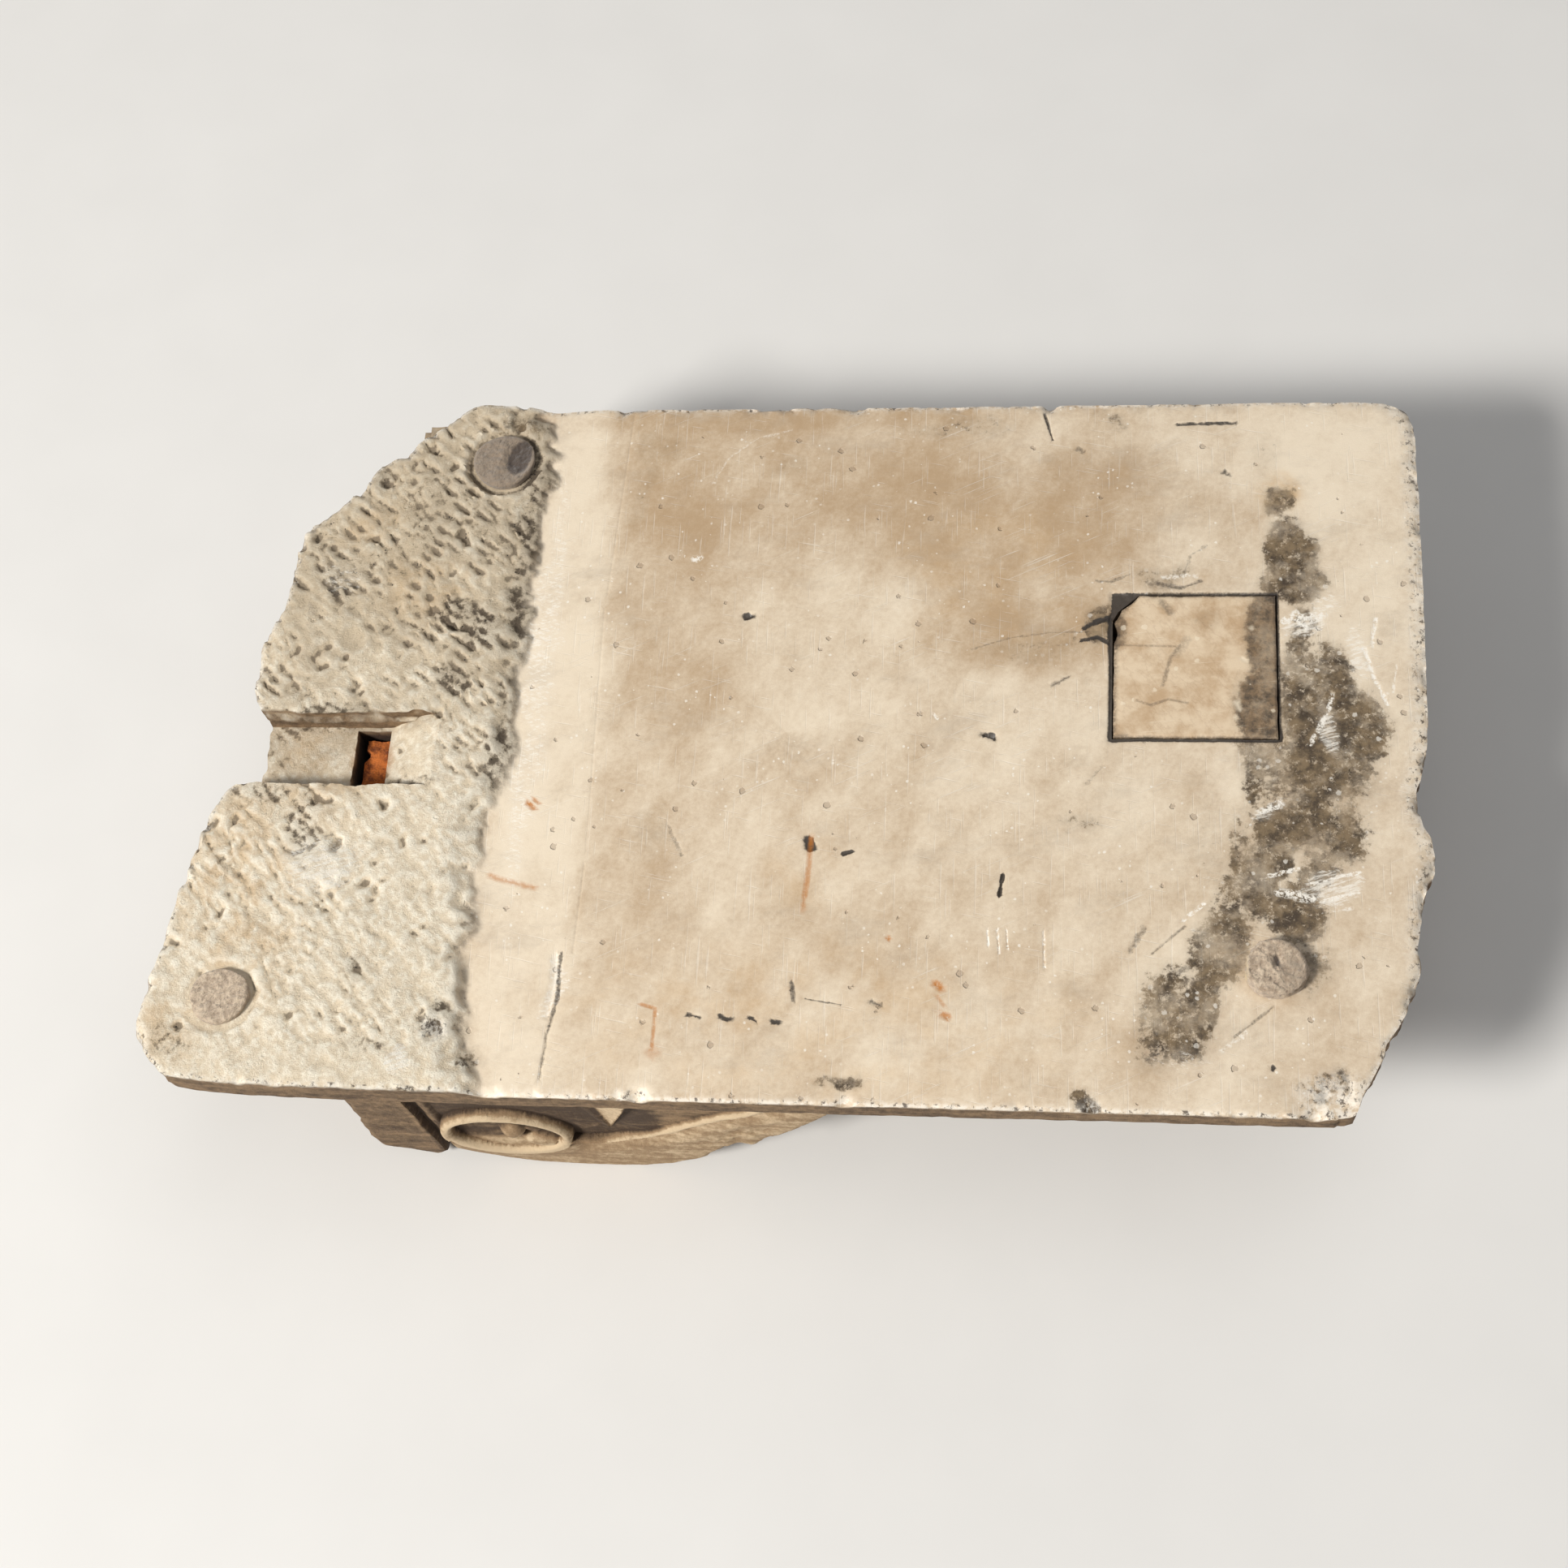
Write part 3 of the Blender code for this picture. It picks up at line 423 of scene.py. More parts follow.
BED_MARKS = (
    Mark(((-19.5, 50.5), (-17, 51)), 1.5, 1.2, Tint.DARK),
    Mark(((76, -0.5), (79.5, -1.5)), 1.5, 1.2, Tint.DARK),
    Mark(((84.5, -58), (83.5, -66)), 0.8, 0.7, Tint.DARK),
    Mark(((181, -130),), 1.3, 0.8, Tint.DARK),
    Mark(((166.5, 115.5), (168, 114)), 1.6, 0.3, Tint.DARK, 0.6),
    Mark(((11.5, -45), (12.5, -48)), 2.3, 0.7, Tint.DARK, 0.9),
    Mark(((12.5, -44), (12, -60), (11, -72)), 0.9, 0.1, Tint.RUST, 0.7),
    Mark(((24.5, -50.5), (28, -49.5)), 0.9, 0.5, Tint.DARK),
    Mark(((101, 20.5), (107.5, 24.5)), 1.6, 0.3, Tint.DARK, 0.55),
    Mark(((114.5, -21), (121, -13)), 1.1, 0.25, Tint.DARK, 0.4),
    Mark(((108, -39.5), (117, -35)), 2.2, 0.1, Tint.DARK, 0.35),
    Mark(((-43, -39), (-36, -52)), 0.9, 0.2, Tint.DARK, 0.45),
    Mark(((-98, -31), (-95, -33.5)), 1.1, 0.2, Tint.RUST),
    Mark(((-95.5, -29.5), (-93.5, -31)), 0.8, 0.1, Tint.RUST, 0.8),
    Mark(((-109, -61.5), (-103, -63.5), (-92, -66)), 1.1, 0.1, Tint.RUST, 0.65),
    Mark(((43.5, -84),), 1.1, 0.3, Tint.RUST),
    Mark(((61, -101), (63.5, -103)), 1.4, 0.3, Tint.RUST),
    Mark(((64, -113), (66.5, -114)), 1.3, 0.3, Tint.RUST, 0.9),
    Mark(((62, -106), (64.5, -109.5)), 0.7, 0.1, Tint.RUST, 0.5),
    Mark(((-46.5, -111.5), (-41, -113), (-41, -128)), 0.6, 0.1, Tint.RUST, 0.75),
    Mark(((-40.5, -130),), 2.6, 0, Tint.RUST, 0.35),
    Mark(((-29, -115), (-24, -116)), 1, 0.3, Tint.DARK, 0.7),
    Mark(((-17, -115.5), (-13, -116.5)), 1.2, 0.3, Tint.DARK, 0.8),
    Mark(((-6, -116), (-3.5, -117)), 1, 0.3, Tint.DARK, 0.8),
    Mark(((3, -117), (5, -117.5)), 1.1, 0.4, Tint.DARK, 0.8),
    Mark(((8.5, -101), (10, -109)), 1, 0.4, Tint.DARK, 0.6),
    Mark(((14, -108), (27, -110)), 0.5, 0.1, Tint.DARK, 0.6),
    Mark(((38, -108.5), (42, -110)), 1.5, 0.3, Tint.DARK, 0.6),
    Mark(((79.5, -80), (80, -86)), 0.5, 0.25, Tint.WHITE, 0.9),
    Mark(((83, -79.5), (84, -89)), 0.5, 0.25, Tint.WHITE, 0.9),
    Mark(((86.5, -80), (87, -87)), 0.5, 0.25, Tint.WHITE, 0.9),
    Mark(((100, -80.5), (100.5, -94)), 0.6, 0.35, Tint.WHITE, 0.7),
    Mark(((-80.5, -93), (-80, -104), (-81.5, -117)), 1.8, 0.6, Tint.WHITE, 0.5),
    Mark(((-78.5, -92), (-78, -110), (-80, -121)), 1, 0.5, Tint.DARK, 0.6),
    Mark(((149, 138), (171, 138.2)), 0.9, 0.5, Tint.DARK, 0.7),
    Mark(((96, 143), (98, 136), (99.5, 131)), 0.7, 0.5, Tint.DARK, 0.7),
    Mark(((109, 127), (112, 125)), 1.4, 0.2, Tint.DARK, 0.5),
    Mark(((-72, 146), (-75.5, 60)), 0.5, 0.18, Tint.DARK, 0.3),
    Mark(((-76, 54), (-73, -51)), 0.5, 0.15, Tint.WHITE, 0.35),
    Mark(((-73.2, -56), (-74, -92)), 0.5, 0.2, Tint.DARK, 0.35),
    Mark(((-80.5, -124), (-81.5, -141)), 0.8, 0.5, Tint.DARK, 0.5),
    Mark(((197, -4), (204, 10), (206, 17)), 1, 0.1, Tint.WHITE, 0.8),
    Mark(((189, 49), (203, 50.5)), 2, 0, Tint.WHITE, 0.9),
    Mark(((193, 52), (197, 45)), 1.6, 0, Tint.WHITE, 0.8),
    Mark(((218, 37), (221.5, 24), (226, 13)), 1, 0.2, Tint.WHITE, 0.9),
    Mark(((223, 50), (221, 38)), 0.9, 0.2, Tint.WHITE, 0.7),
    Mark(((230, 30), (228, 18)), 0.7, 0.1, Tint.WHITE, 0.6),
    Mark(((181, -57), (192, -54)), 0.9, 0.2, Tint.WHITE, 0.9),
    Mark(((184, -63), (197, -66)), 1.9, 0.2, Tint.WHITE, 0.8),
    Mark(((196, -60), (214, -55)), 0.8, 0.1, Tint.WHITE, 0.8),
    Mark(((199, -67), (213, -63)), 0.9, 0.1, Tint.WHITE, 0.7),
    Mark(((201, -71), (211, -69)), 0.8, 0.1, Tint.WHITE, 0.6),
    Mark(((179, -31), (186, -28)), 1.8, 0, Tint.WHITE, 0.7),
    Mark(((150, -75), (158, -68)), 0.8, 0.3, Tint.WHITE, 0.8),
    Mark(((139, -88), (151, -77)), 0.7, 0.4, Tint.DARK, 0.5),
    Mark(((131, -87), (136, -78)), 1.6, 0.3, Tint.DARK, 0.5),
    Mark(((148, -96), (154, -91)), 1.5, 0.4, Tint.DARK, 0.5),
    Mark(((168, -119), (182, -107)), 0.7, 0.4, Tint.DARK, 0.5),
    Mark(((164, -124), (172, -117)), 1, 0.2, Tint.WHITE, 0.6),
    Mark(((117, 66.5), (123, 66), (130, 69)), 0.9, 0.1, Tint.DARK, 0.5),
    Mark(((141, 65), (150, 63.5), (158, 66)), 1.2, 0.4, Tint.DARK, 0.55),
    Mark(((143, 68), (156, 68.5)), 1.2, 0.1, Tint.WHITE, 0.6),
    Mark(((151, 70), (154, 78), (160, 82)), 1.1, 0.1, Tint.DARK, 0.45),
    Mark(((70, 36), (84, 41), (100, 43.5), (119, 44)), 0.6, 0, Tint.DARK, 0.45),
    Mark(((84, 33), (99, 37.5), (118, 39.5)), 0.5, 0, Tint.DARK, 0.35),
    Mark(((113, 45.5), (119.5, 49), (123, 50.5)), 1.3, 0.4, Tint.DARK, 0.9),
    Mark(((112, 40), (118, 41.5), (122.5, 39)), 0.9, 0.3, Tint.DARK, 0.8),
    Mark(((-37, 112), (-31, 124), (-20, 133), (-6, 137)), 0.6, 0.1, Tint.WHITE, 0.5),
    Mark(((-42, 76.5), (-39, 77)), 1.9, 0.1, Tint.WHITE, 0.8),
    Mark(((56.5, 8.5), (58, 6)), 1.1, 0.1, Tint.WHITE, 0.8),
)
DARK_STAINS = (
    Patch(192, 82, 8, 14, 8), Patch(193, 66, 11, 9), Patch(187, 105, 5.5, 7, 20, 0.85),
    Patch(196, 49, 7, 10, 0, 0.55), Patch(206, 22, 11, 16, 0, 0.84), Patch(213, 2, 12, 20, 0, 0.88),
    Patch(203, -12, 17, 17), Patch(197, 6, 10, 20, 0, 0.9), Patch(192, 30, 6, 20, 0, 0.62),
    Patch(186, -4, 10, 26, 0, 0.6), Patch(176, -14, 8, 20, 0, 0.6), Patch(192, -36, 15, 12, 0, 0.85),
    Patch(208, -40, 13, 12, 0, 0.7), Patch(182, -48, 6, 18, -14, 0.98), Patch(177, -62, 6, 14, -8, 0.95),
    Patch(190, -70, 13, 10, 0, 0.8), Patch(198, -56, 10, 9, 0, 0.7), Patch(168, -60, 8, 30, -10, 0.56),
    Patch(163, -88, 10, 26, -14, 0.64), Patch(159, -108, 5.5, 12, -16, 0.88),
    Patch(151, -124, 8, 6, 0, 0.7), Patch(144, -112, 13, 22, -14, 0.6), Patch(190, -92, 15, 13, 0, 0.55),
    Patch(120, 48, 6, 9, 0, 0.62), Patch(98, 38, 24, 8, 8, 0.36), Patch(110, -38, 10, 5, 0, 0.42),
    Patch(-108, -134, 7, 8, 0, 0.5), Patch(-50, -44, 10, 12, 0, 0.3), Patch(-8, 118, 8, 6, 0, 0.34),
    Patch(125, 137, 5, 5, 0, 0.5), Patch(64, 137, 26, 5, 0, 0.38), Patch(28, -141, 10, 3.5, 0, 0.7),
    Patch(118, -143, 5, 5, 0, 0.7), Patch(200, -136, 13, 7, 10, 0.5), Patch(-60, 130, 7, 9, 0, 0.34),
    Patch(-66, 112, 4, 26, 0, 0.34), Patch(160, -42, 9, 22, 0, 0.3), Patch(184, 124, 9, 12, 0, 0.3),
    Patch(141, 67, 12, 6, 0, 0.5), Patch(-118, 136, 14, 6, 0, 0.5),
)
TAIL_CRUSTS = (
    Patch(-111, 116, 5, 18), Patch(-173, 110, 6, 6, 0, 0.7), Patch(-186, 59, 6, 7, 0, 0.8),
    Patch(-191, 91, 8, 6, 0, 0.5), Patch(-135, 47, 12, 8, 0, 0.8), Patch(-123, 42, 8, 8, 0, 0.9),
    Patch(-132, 22, 8, 7, 0, 0.8), Patch(-108, 50, 6, 16), Patch(-109, 82, 6, 18), Patch(-109, -13, 8, 14),
    Patch(-185, 3, 20, 4, 0, 0.8), Patch(-205, -30, 16, 5, 0, 0.8), Patch(-184, -44, 8, 18, 0, 0.75),
    Patch(-155, -98, 4, 4, 0, 0.7), Patch(-121, -121, 8, 6), Patch(-145, -131, 8, 4, 0, 0.7),
    Patch(-222, -130, 8, 7, 0, 0.7), Patch(-109, -84, 4, 20, 0, 0.9), Patch(-104, -106, 5, 14, 0, 0.8),
    Patch(-150, -22, 22, 4, 0, 0.7), Patch(-140, 90, 26, 22, 0, 0.45), Patch(-175, 75, 30, 16, 0, 0.35),
)
BRUISES = (
    Patch(196, 47, 9, 5, 12, 0.9), Patch(205, 55, 8, 9, 0, 0.5), Patch(217, 36, 5, 12, 8, 0.6),
    Patch(205, -62, 12, 8, 10, 0.8), Patch(182, -32, 6, 4, 20, 0.7), Patch(204, 3, 5, 8, 20, 0.7),
    Patch(-100, 20, 7, 130, 0, 0.5), Patch(-120, -60, 16, 60, 0, 0.35), Patch(-133, -138, 6, 6, 60, 1.1),
    Patch(-80, -105, 5, 16, 0, 0.55), Patch(202, -139, 15, 8, 0, 0.25), Patch(-175, -60, 18, 16, 0, 0.6),
    Patch(-185, 65, 14, 10, 0, 0.45), Patch(-10, 80, 30, 22, 0, 0.22), Patch(-134, -5, 9, 12, 0, 0.42),
    Patch(150, -128, 18, 6, 0, 0.4),
)
TAN_PATCHES = (
    Patch(-25, 112, 66, 38, 0, 0.4), Patch(-45, 40, 26, 64, 6, 0.3), Patch(75, 95, 52, 38, -20, 0.52),
    Patch(120, 100, 34, 26, 0, 0.4), Patch(95, 42, 44, 15, 6, 0.5), Patch(10, 20, 46, 34, 0, -0.05),
    Patch(215, 70, 26, 80, 0, -0.3), Patch(-92, 0, 16, 170, 0, -0.6), Patch(100, -10, 50, 22, 0, -0.15),
    Patch(-55, -60, 20, 40, 0, 0.22), Patch(0, -80, 60, 34, 0, 0.12), Patch(190, 125, 40, 20, 0, -0.15),
    Patch(-20, 145, 120, 8, 0, 0.35), Patch(215, -90, 16, 40, 0, 0.1),
)
OCHRE_PATCHES = (
    Patch(-205, -70, 20, 44, 12, 0.55), Patch(-190, -30, 26, 14, 0, 0.45), Patch(-150, 62, 18, 14, 0, 0.35),
    Patch(-170, 88, 18, 12, 0, 0.3), Patch(-225, -128, 12, 16, 0, 0.5), Patch(20, -118, 90, 30, 0, 0.4),
    Patch(-188, -8, 14, 12, 0, 0.4), Patch(188, 105, 7, 9, 20, 1.6), Patch(80, 70, 40, 30, 0, 0.3),
    Patch(10, -60, 16, 14, 0, 0.35),
)


@dataclass
class CarvedBlock:
    """The slab with its rough tail and the scrolled bracket under it, carved from one stone."""

    half_width: float = 148.0
    slab_edge: float = 13.0
    tail_rise: float = 5.5
    tail_pitch: float = 1.22
    bed_pitch: float = 2.8
    edge_pitch: float = 1.3
    panel: float = 143.2
    volute: Point = (-105.4, -55.4)
    volute_radius: float = 25.9
    volute_squash: float = 1.17
    ring_width: float = 4.8
    cramp_low: float = -26.0
    cramp_high: float = 5.0
    cramp_floor: float = -6.5
    hole_x: Point = (-171.2, -157.8)
    hole_y: Point = (-23.2, 2.2)
    hole_bottom: float = -32.5
    cut_at: float = -137.6
    cut_slope: float = 0.035
    crumble: Patch = Patch(203, -140, 15, 8)
    crumble_rim: Patch = Patch(203, -140, 14, 8)

    near_edge = ((-223, -144.5), (-208, -146.3), (-190, -147.2), (-150, -148), (204, -148))
    front_break = (
        (204, -148), (209.5, -146.5), (212, -139), (217, -132), (220, -124), (223, -117), (228, -109),
        (231, -101), (233.6, -94), (234, -78), (237, -63), (240, -55), (240.6, -47), (239, -39),
        (236, -31), (235.2, -22), (238, -14), (240.3, -6), (240.6, 8),
    )
    front_edge = ((240.6, 8), (241.2, 60), (241.4, 100), (241, 136), (238.5, 143.6), (231, 147), (215, 148))
    far_edge = ((215, 148), (71, 147.6), (-90, 147.8), (-104, 146.6), (-111, 147.2), (-138, 147.4))
    tail_break = (
        (-138, 147.4), (-146, 142), (-154, 136), (-164, 127), (-169, 123), (-176, 118), (-180, 108),
        (-190, 98), (-202, 89), (-204.2, 79), (-205, 60), (-206, 51), (-210, 42), (-213, 33),
        (-213, 14), (-209, 5), (-207, -12), (-208, -21), (-217, -30), (-222, -39), (-226, -56),
        (-229, -73), (-232, -89), (-234, -106), (-237.3, -129), (-230, -138), (-223, -144.5),
    )
    step_line = (
        (-142, -105), (-117, -110), (-101, -111), (-85, -111), (-70, -112.5), (-52, -113), (-35, -110),
        (-21, -106.5), (-11, -103), (3, -107), (18, -107), (36, -104), (54, -103.5), (95, -104),
        (111, -103), (126, -102), (144, -107),
    )
    plug_outline = (
        (123.9, -1.6), (186.1, -1.6), (186.1, 60.2), (134.1, 60.2), (126.1, 53.0), (123.9, 48.8),
    )
    felt_seats = ((-123.0, 120.0, 15.3, 2.5), (-205.0, -114.0, 13.9, 4.3))
    smooth_pits = ((-175.0, 37.0, 6.6, 1.5), (-161.0, 57.0, 4.8, 1.1), (-150.0, 28.0, 5.0, 0.7))
    chips = (
        (-236, -133, 7, 3.5), (-236, -110, 4, 1.4), (-45, -148, 5, 3.2), (-52, -148, 3, 1.2),
        (-76, 148, 4, 1.6), (20, 148, 5, 1.0), (98, 147, 4, 2.0), (204, -143, 9, 1.6), (196, -147, 6, 2.0),
        (240, -10, 4, 2.4), (238, -28, 6, 2.0), (-214, 22, 4, 2.0), (-122, -124, 6, 2.4), (30, -148, 4, 1.5),
        (118, -147, 4, 1.4), (241, 120, 5, 1.2), (240, -58, 4, 2.0), (232, -100, 4, 1.8), (-165, 126, 5, 1.6),
    )
    fillet = (
        (-82, -62.8), (-74, -62), (-67, -60.6), (-60, -57), (-51, -52.6), (-43, -47.5), (-35, -41),
        (-24, -31), (-15, -25), (-8, -21.5), (0, -15), (7, -9),
    )
    silhouette = (
        (-160, -7.5), (-160, -27), (-161, -34), (-160.8, -46), (-162.2, -50), (-162, -62), (-163, -68),
        (-161.5, -78), (-155, -82.5), (-140, -90), (-137, -86.5),
        (-134, -82.5), (-131, -75.5), (-122, -81.4), (-114, -86.6), (-105, -90.6), (-95, -92.8),
        (-85, -93.7), (-76, -94), (-66, -94), (-56, -92.6), (-45, -89), (-38, -84), (-33, -81.5),
        (-30.5, -79), (-29, -74.5), (-26, -71.3), (-21, -64.6), (-18, -62.4), (-9, -60.4), (-5.5, -55),
        (0, -49), (4, -45.2), (10, -38), (17, -28), (22, -18), (24, -7.5),
    )
    dart = ((-67.5, -12.0), (-46.0, -12.0), (-63.5, -50.0))
    dart_ridge: Point = (-51.5, -12.0)
    inner_turn = ((1.0, -3.0), (-8.0, -8.0), (-15.0, -8.5))

    def behind_step(self, x: np.ndarray, y: np.ndarray) -> np.ndarray:
        """Returns each point's distance behind the ragged line where the rough tail steps up."""
        rows, columns = zip(*self.step_line)
        line = np.interp(y, rows, columns) + 3.4 * rough_noise(y, x * 0.25, 13.0, 41)
        line += (1.7 + 1.2 * ramp(0.0, 50.0, y)) * rough_noise(y, x * 0.7, 4.6, 43)
        return line - x

    def step_share(self, x: np.ndarray, y: np.ndarray) -> np.ndarray:
        """Returns 1 on the rough tail, 0 on the smooth bed, and a rise between them."""
        run = 6.2 - 2.6 * ramp(-30.0, 40.0, y) + 2.8 * rough_noise(x, y, 11.0, 44)
        return ramp(0.0, 1.0, self.behind_step(x, y) / run)

    def pecks(self, x: np.ndarray, y: np.ndarray, turn: float, length: float, pitch: float,
              seed: int) -> np.ndarray:
        """Returns the depth of point-chisel strokes set in slanting rows.

        Args:
            x: First coordinate of each point.
            y: Second coordinate of each point.
            turn: Direction of the strokes in degrees.
            length: Spacing of the strokes along their direction.
            pitch: Spacing of the rows.
            seed: Which pattern is drawn.

        Returns:
            Depths from 0 to about 1.
        """
        angle = math.radians(turn)
        bend = 1.6 * rough_noise(x, y, 30.0, seed + 5)
        along = (x * math.cos(angle) + y * math.sin(angle)) / length
        across = (y * math.cos(angle) - x * math.sin(angle) + bend) / pitch
        depth = np.zeros_like(x)
        for shift_along in (-1, 0, 1):
            for shift_across in (-1, 0, 1):
                column = np.floor(along).astype(np.int64) + shift_along
                row = np.floor(across).astype(np.int64) + shift_across
                centre_along = column + 0.5 + 0.5 * (row % 2) + 0.5 * lattice_value(column, row, seed)
                centre_across = row + 0.5 + 0.38 * lattice_value(column, row, seed + 1)
                half_along = 0.62 + 0.34 * lattice_value(column, row, seed + 2)
                half_across = 0.44 + 0.14 * lattice_value(column, row, seed + 3)
                radius = np.hypot((along - centre_along) / half_along, (across - centre_across) / half_across)
                strength = np.clip(0.45 + 0.7 * lattice_value(column, row, seed + 4), 0.0, 1.0)
                depth = np.maximum(depth, strength * fade(0.15, 1.0, radius))
        return depth

    def tail_surface(self, x: np.ndarray, y: np.ndarray) -> np.ndarray:
        """Returns the height of the point-dressed tail over the bed."""
        margin = ramp(-140.0, -124.0, y)
        upper = ramp(-40.0, 25.0, y)
        height = self.tail_rise - 0.1
        for size, lump, seed in ((36.0, 0.85, 51), (12.0, 0.75, 52), (4.6, 0.42, 53)):
            height = height + lump * rough_noise(x, y, size, seed)
        field = 0.2 + 0.8 * ramp(-0.45, 0.35, rough_noise(x, y, 30.0, 58) + 0.25 * upper)
        strokes = self.pecks(x, y, -37.0, 9.6, 4.8, 60)
        crust = self.pecks(x, y, -64.0, 7.0, 6.2, 70)
        height -= margin * field * (0.65 + 1.1 * upper) * strokes
        height -= (0.2 + 0.3 * margin) * crust * (1.15 - field)
        height -= 2.0 * ramp(0.45, 0.95, rough_noise(x, y, 8.5, 57)) * margin
        grooves = np.abs(rough_noise(x * 0.8 + y * 0.6, (y * 0.8 - x * 0.6) * 0.35, 5.0, 59))
        height -= 0.8 * margin * field * fade(0.0, 0.22, grooves)
        for px, py, radius, depth in self.smooth_pits:
            share = np.hypot(x - px, y - py) / radius
            bowl = self.tail_rise + 0.1 - depth * (1.0 - np.clip(share, 0, 1) ** 2)
            height = np.where(share < 1.15, bowl + (height - bowl) * ramp(0.8, 1.15, share), height)
        return height

    def edge_wear(self, x: np.ndarray, y: np.ndarray, margin: np.ndarray) -> np.ndarray:
        """Returns how much the arrises are worn or chipped down, from the distance to the outline."""
        arris = 0.55 * fade(0.0, 1.5, margin)
        nibble = ramp(0.10, 0.75, rough_noise(x, y, 7.5, 81)) * fade(0.2, 3.4, margin) * 1.5
        rim = ramp(225.0, 238.0, x) * fade(0.5, 6.0, margin)
        rim = rim * (0.5 + 0.6 * rough_noise(x, y, 3.5, 83))
        wear = arris + nibble + np.maximum(rim, 0.0)
        for cx, cy, radius, depth in self.chips:
            share = np.hypot(x - cx, y - cy) / (radius * (1.0 + 0.3 * rough_noise(x, y, 4.0, 85)))
            wear += depth * fade(0.25, 1.0, share)
        return wear

    def corner_gap(self, x: np.ndarray, y: np.ndarray) -> np.ndarray:
        """Returns each point's distance from the mortar that fills the plug's broken corner."""
        over = np.maximum(np.maximum(124.0 - x, y - 60.2), (x - 124.0) / 1.35 - (y - 47.5) / 1.9)
        return np.maximum(over, 0.0) * 1.2

    def joint_groove(self, x: np.ndarray, y: np.ndarray) -> np.ndarray:
        """Returns the depth of the sunk mortar joint around the plug."""
        joint = path_distance(x, y, (*self.plug_outline, self.plug_outline[0]))
        left = fade(124.0, 130.0, x)
        low = fade(-1.0, 4.0, y)
        width = 0.75 + 0.4 * rough_noise(x, y, 5.0, 87) + 0.6 * left + 0.5 * low
        width = np.maximum(width + 0.5 * left * ramp(20.0, 40.0, y), 0.5)
        joint = np.minimum(joint, self.corner_gap(x, y))
        return (0.75 + 0.3 * rough_noise(x, y, 2.6, 88)) * fade(0.55, 1.0, joint / width)

    def top_height(self, x: np.ndarray, y: np.ndarray, margin: np.ndarray) -> np.ndarray:
        """Returns the height of the upper face, tail, step, bed, seats and marks included."""
        bed = 0.07 * rough_noise(x, y, 46.0, 31) + 0.04 * rough_noise(x, y, 7.0, 32)
        share = self.step_share(x, y)
        foot = ramp(0.0, 0.25, share) * fade(0.25, 0.75, share)
        bites = self.pecks(x, y, -15.0, 6.5, 5.5, 66)
        approach = self.behind_step(x, y) + 5.0 * rough_noise(x, y, 9.0, 45)
        low = 0.36 + 0.64 * ramp(0.0, 15.0, approach)
        height = bed + (self.tail_surface(x, y) - bed) * share * low - 1.2 * foot * bites
        for fx, fy, radius, level in self.felt_seats:
            reach = np.hypot(x - fx, y - fy) + 0.5 * rough_noise(x, y, 7.0, 35)
            seat = level - 0.15 + 0.12 * rough_noise(x, y, 5.0, 36)
            lowered = seat + (height - seat) * ramp(radius - 0.6, radius + 0.9, reach)
            height = np.where(height > seat, lowered, height)
        height -= self.crumble.mask(x, y) * 1.3 * ramp(-0.1, 0.6, rough_noise(x, y, 4.5, 37))
        height -= self.joint_groove(x, y)
        for mark in BED_MARKS:
            height -= mark.depth * fade(0.2, 1.0, mark.distance(x, y))
        return height - self.edge_wear(x, y, margin)

    def outline(self) -> tuple[np.ndarray, np.ndarray]:
        """Returns the upper outline with its small breaks, and how rough each point's edge is."""
        rows = []
        rough = []
        runs = (
            (self.near_edge, 0.16), (self.front_break, 0.75), (self.front_edge, 0.25),
            (self.far_edge, 0.25), (self.tail_break, 0.85),
        )
        for points, roughness in runs:
            run = refine(np.array(points, dtype=float), self.edge_pitch, closed=False)[:-1]
            rows.append(run)
            rough.append(np.full(len(run), roughness))
        path = np.concatenate(rows)
        roughness = np.concatenate(rough)
        for _ in range(2):
            path = 0.5 * path + 0.25 * (np.roll(path, 1, axis=0) + np.roll(path, -1, axis=0))
        shift = rough_noise(path[:, 0], path[:, 1], 6.0, 21, 2) - 0.5
        path = path + outward(path) * (shift * roughness)[:, None]
        return path, roughness

    def bed_points(self, outline: np.ndarray) -> np.ndarray:
        """Returns the points of the upper face, closer together where there is more carving."""
        low = outline.min(axis=0)
        high = outline.max(axis=0)
        fine = scatter(tuple(low), (-98.0, high[1]), self.tail_pitch, 1)
        fine = fine[(self.step_share(fine[:, 0] - 3.0, fine[:, 1]) > 0.0)]
        coarse = scatter((-114.0, low[1]), tuple(high), self.bed_pitch, 2)
        coarse = coarse[self.step_share(coarse[:, 0] - 4.5, coarse[:, 1]) <= 0.0]
        joint = refine(np.array(self.plug_outline, dtype=float), 0.8, closed=True)
        rows = [fine, coarse]
        for offset in (0.35, 0.9, 1.6, 2.3, 3.2):
            rows.append(joint + outward(joint) * offset)
        rows.append(scatter((196.0, -147.0), (214.0, -132.0), 1.2, 3))
        rows.append(scatter((118.0, 46.0), (137.0, 64.0), 1.0, 7))
        for mark in BED_MARKS:
            rows.append(mark.points())
        points = np.concatenate(rows)
        margin = distance_to(points, outline)
        points = points[inside(points[:, 0], points[:, 1], outline) & (margin > 2.1)]
        plug = np.array(self.plug_outline, dtype=float)
        centre = np.array([155.0, 29.3])
        return points[~inside(points[:, 0], points[:, 1], centre + (plug - centre) * 0.96)]

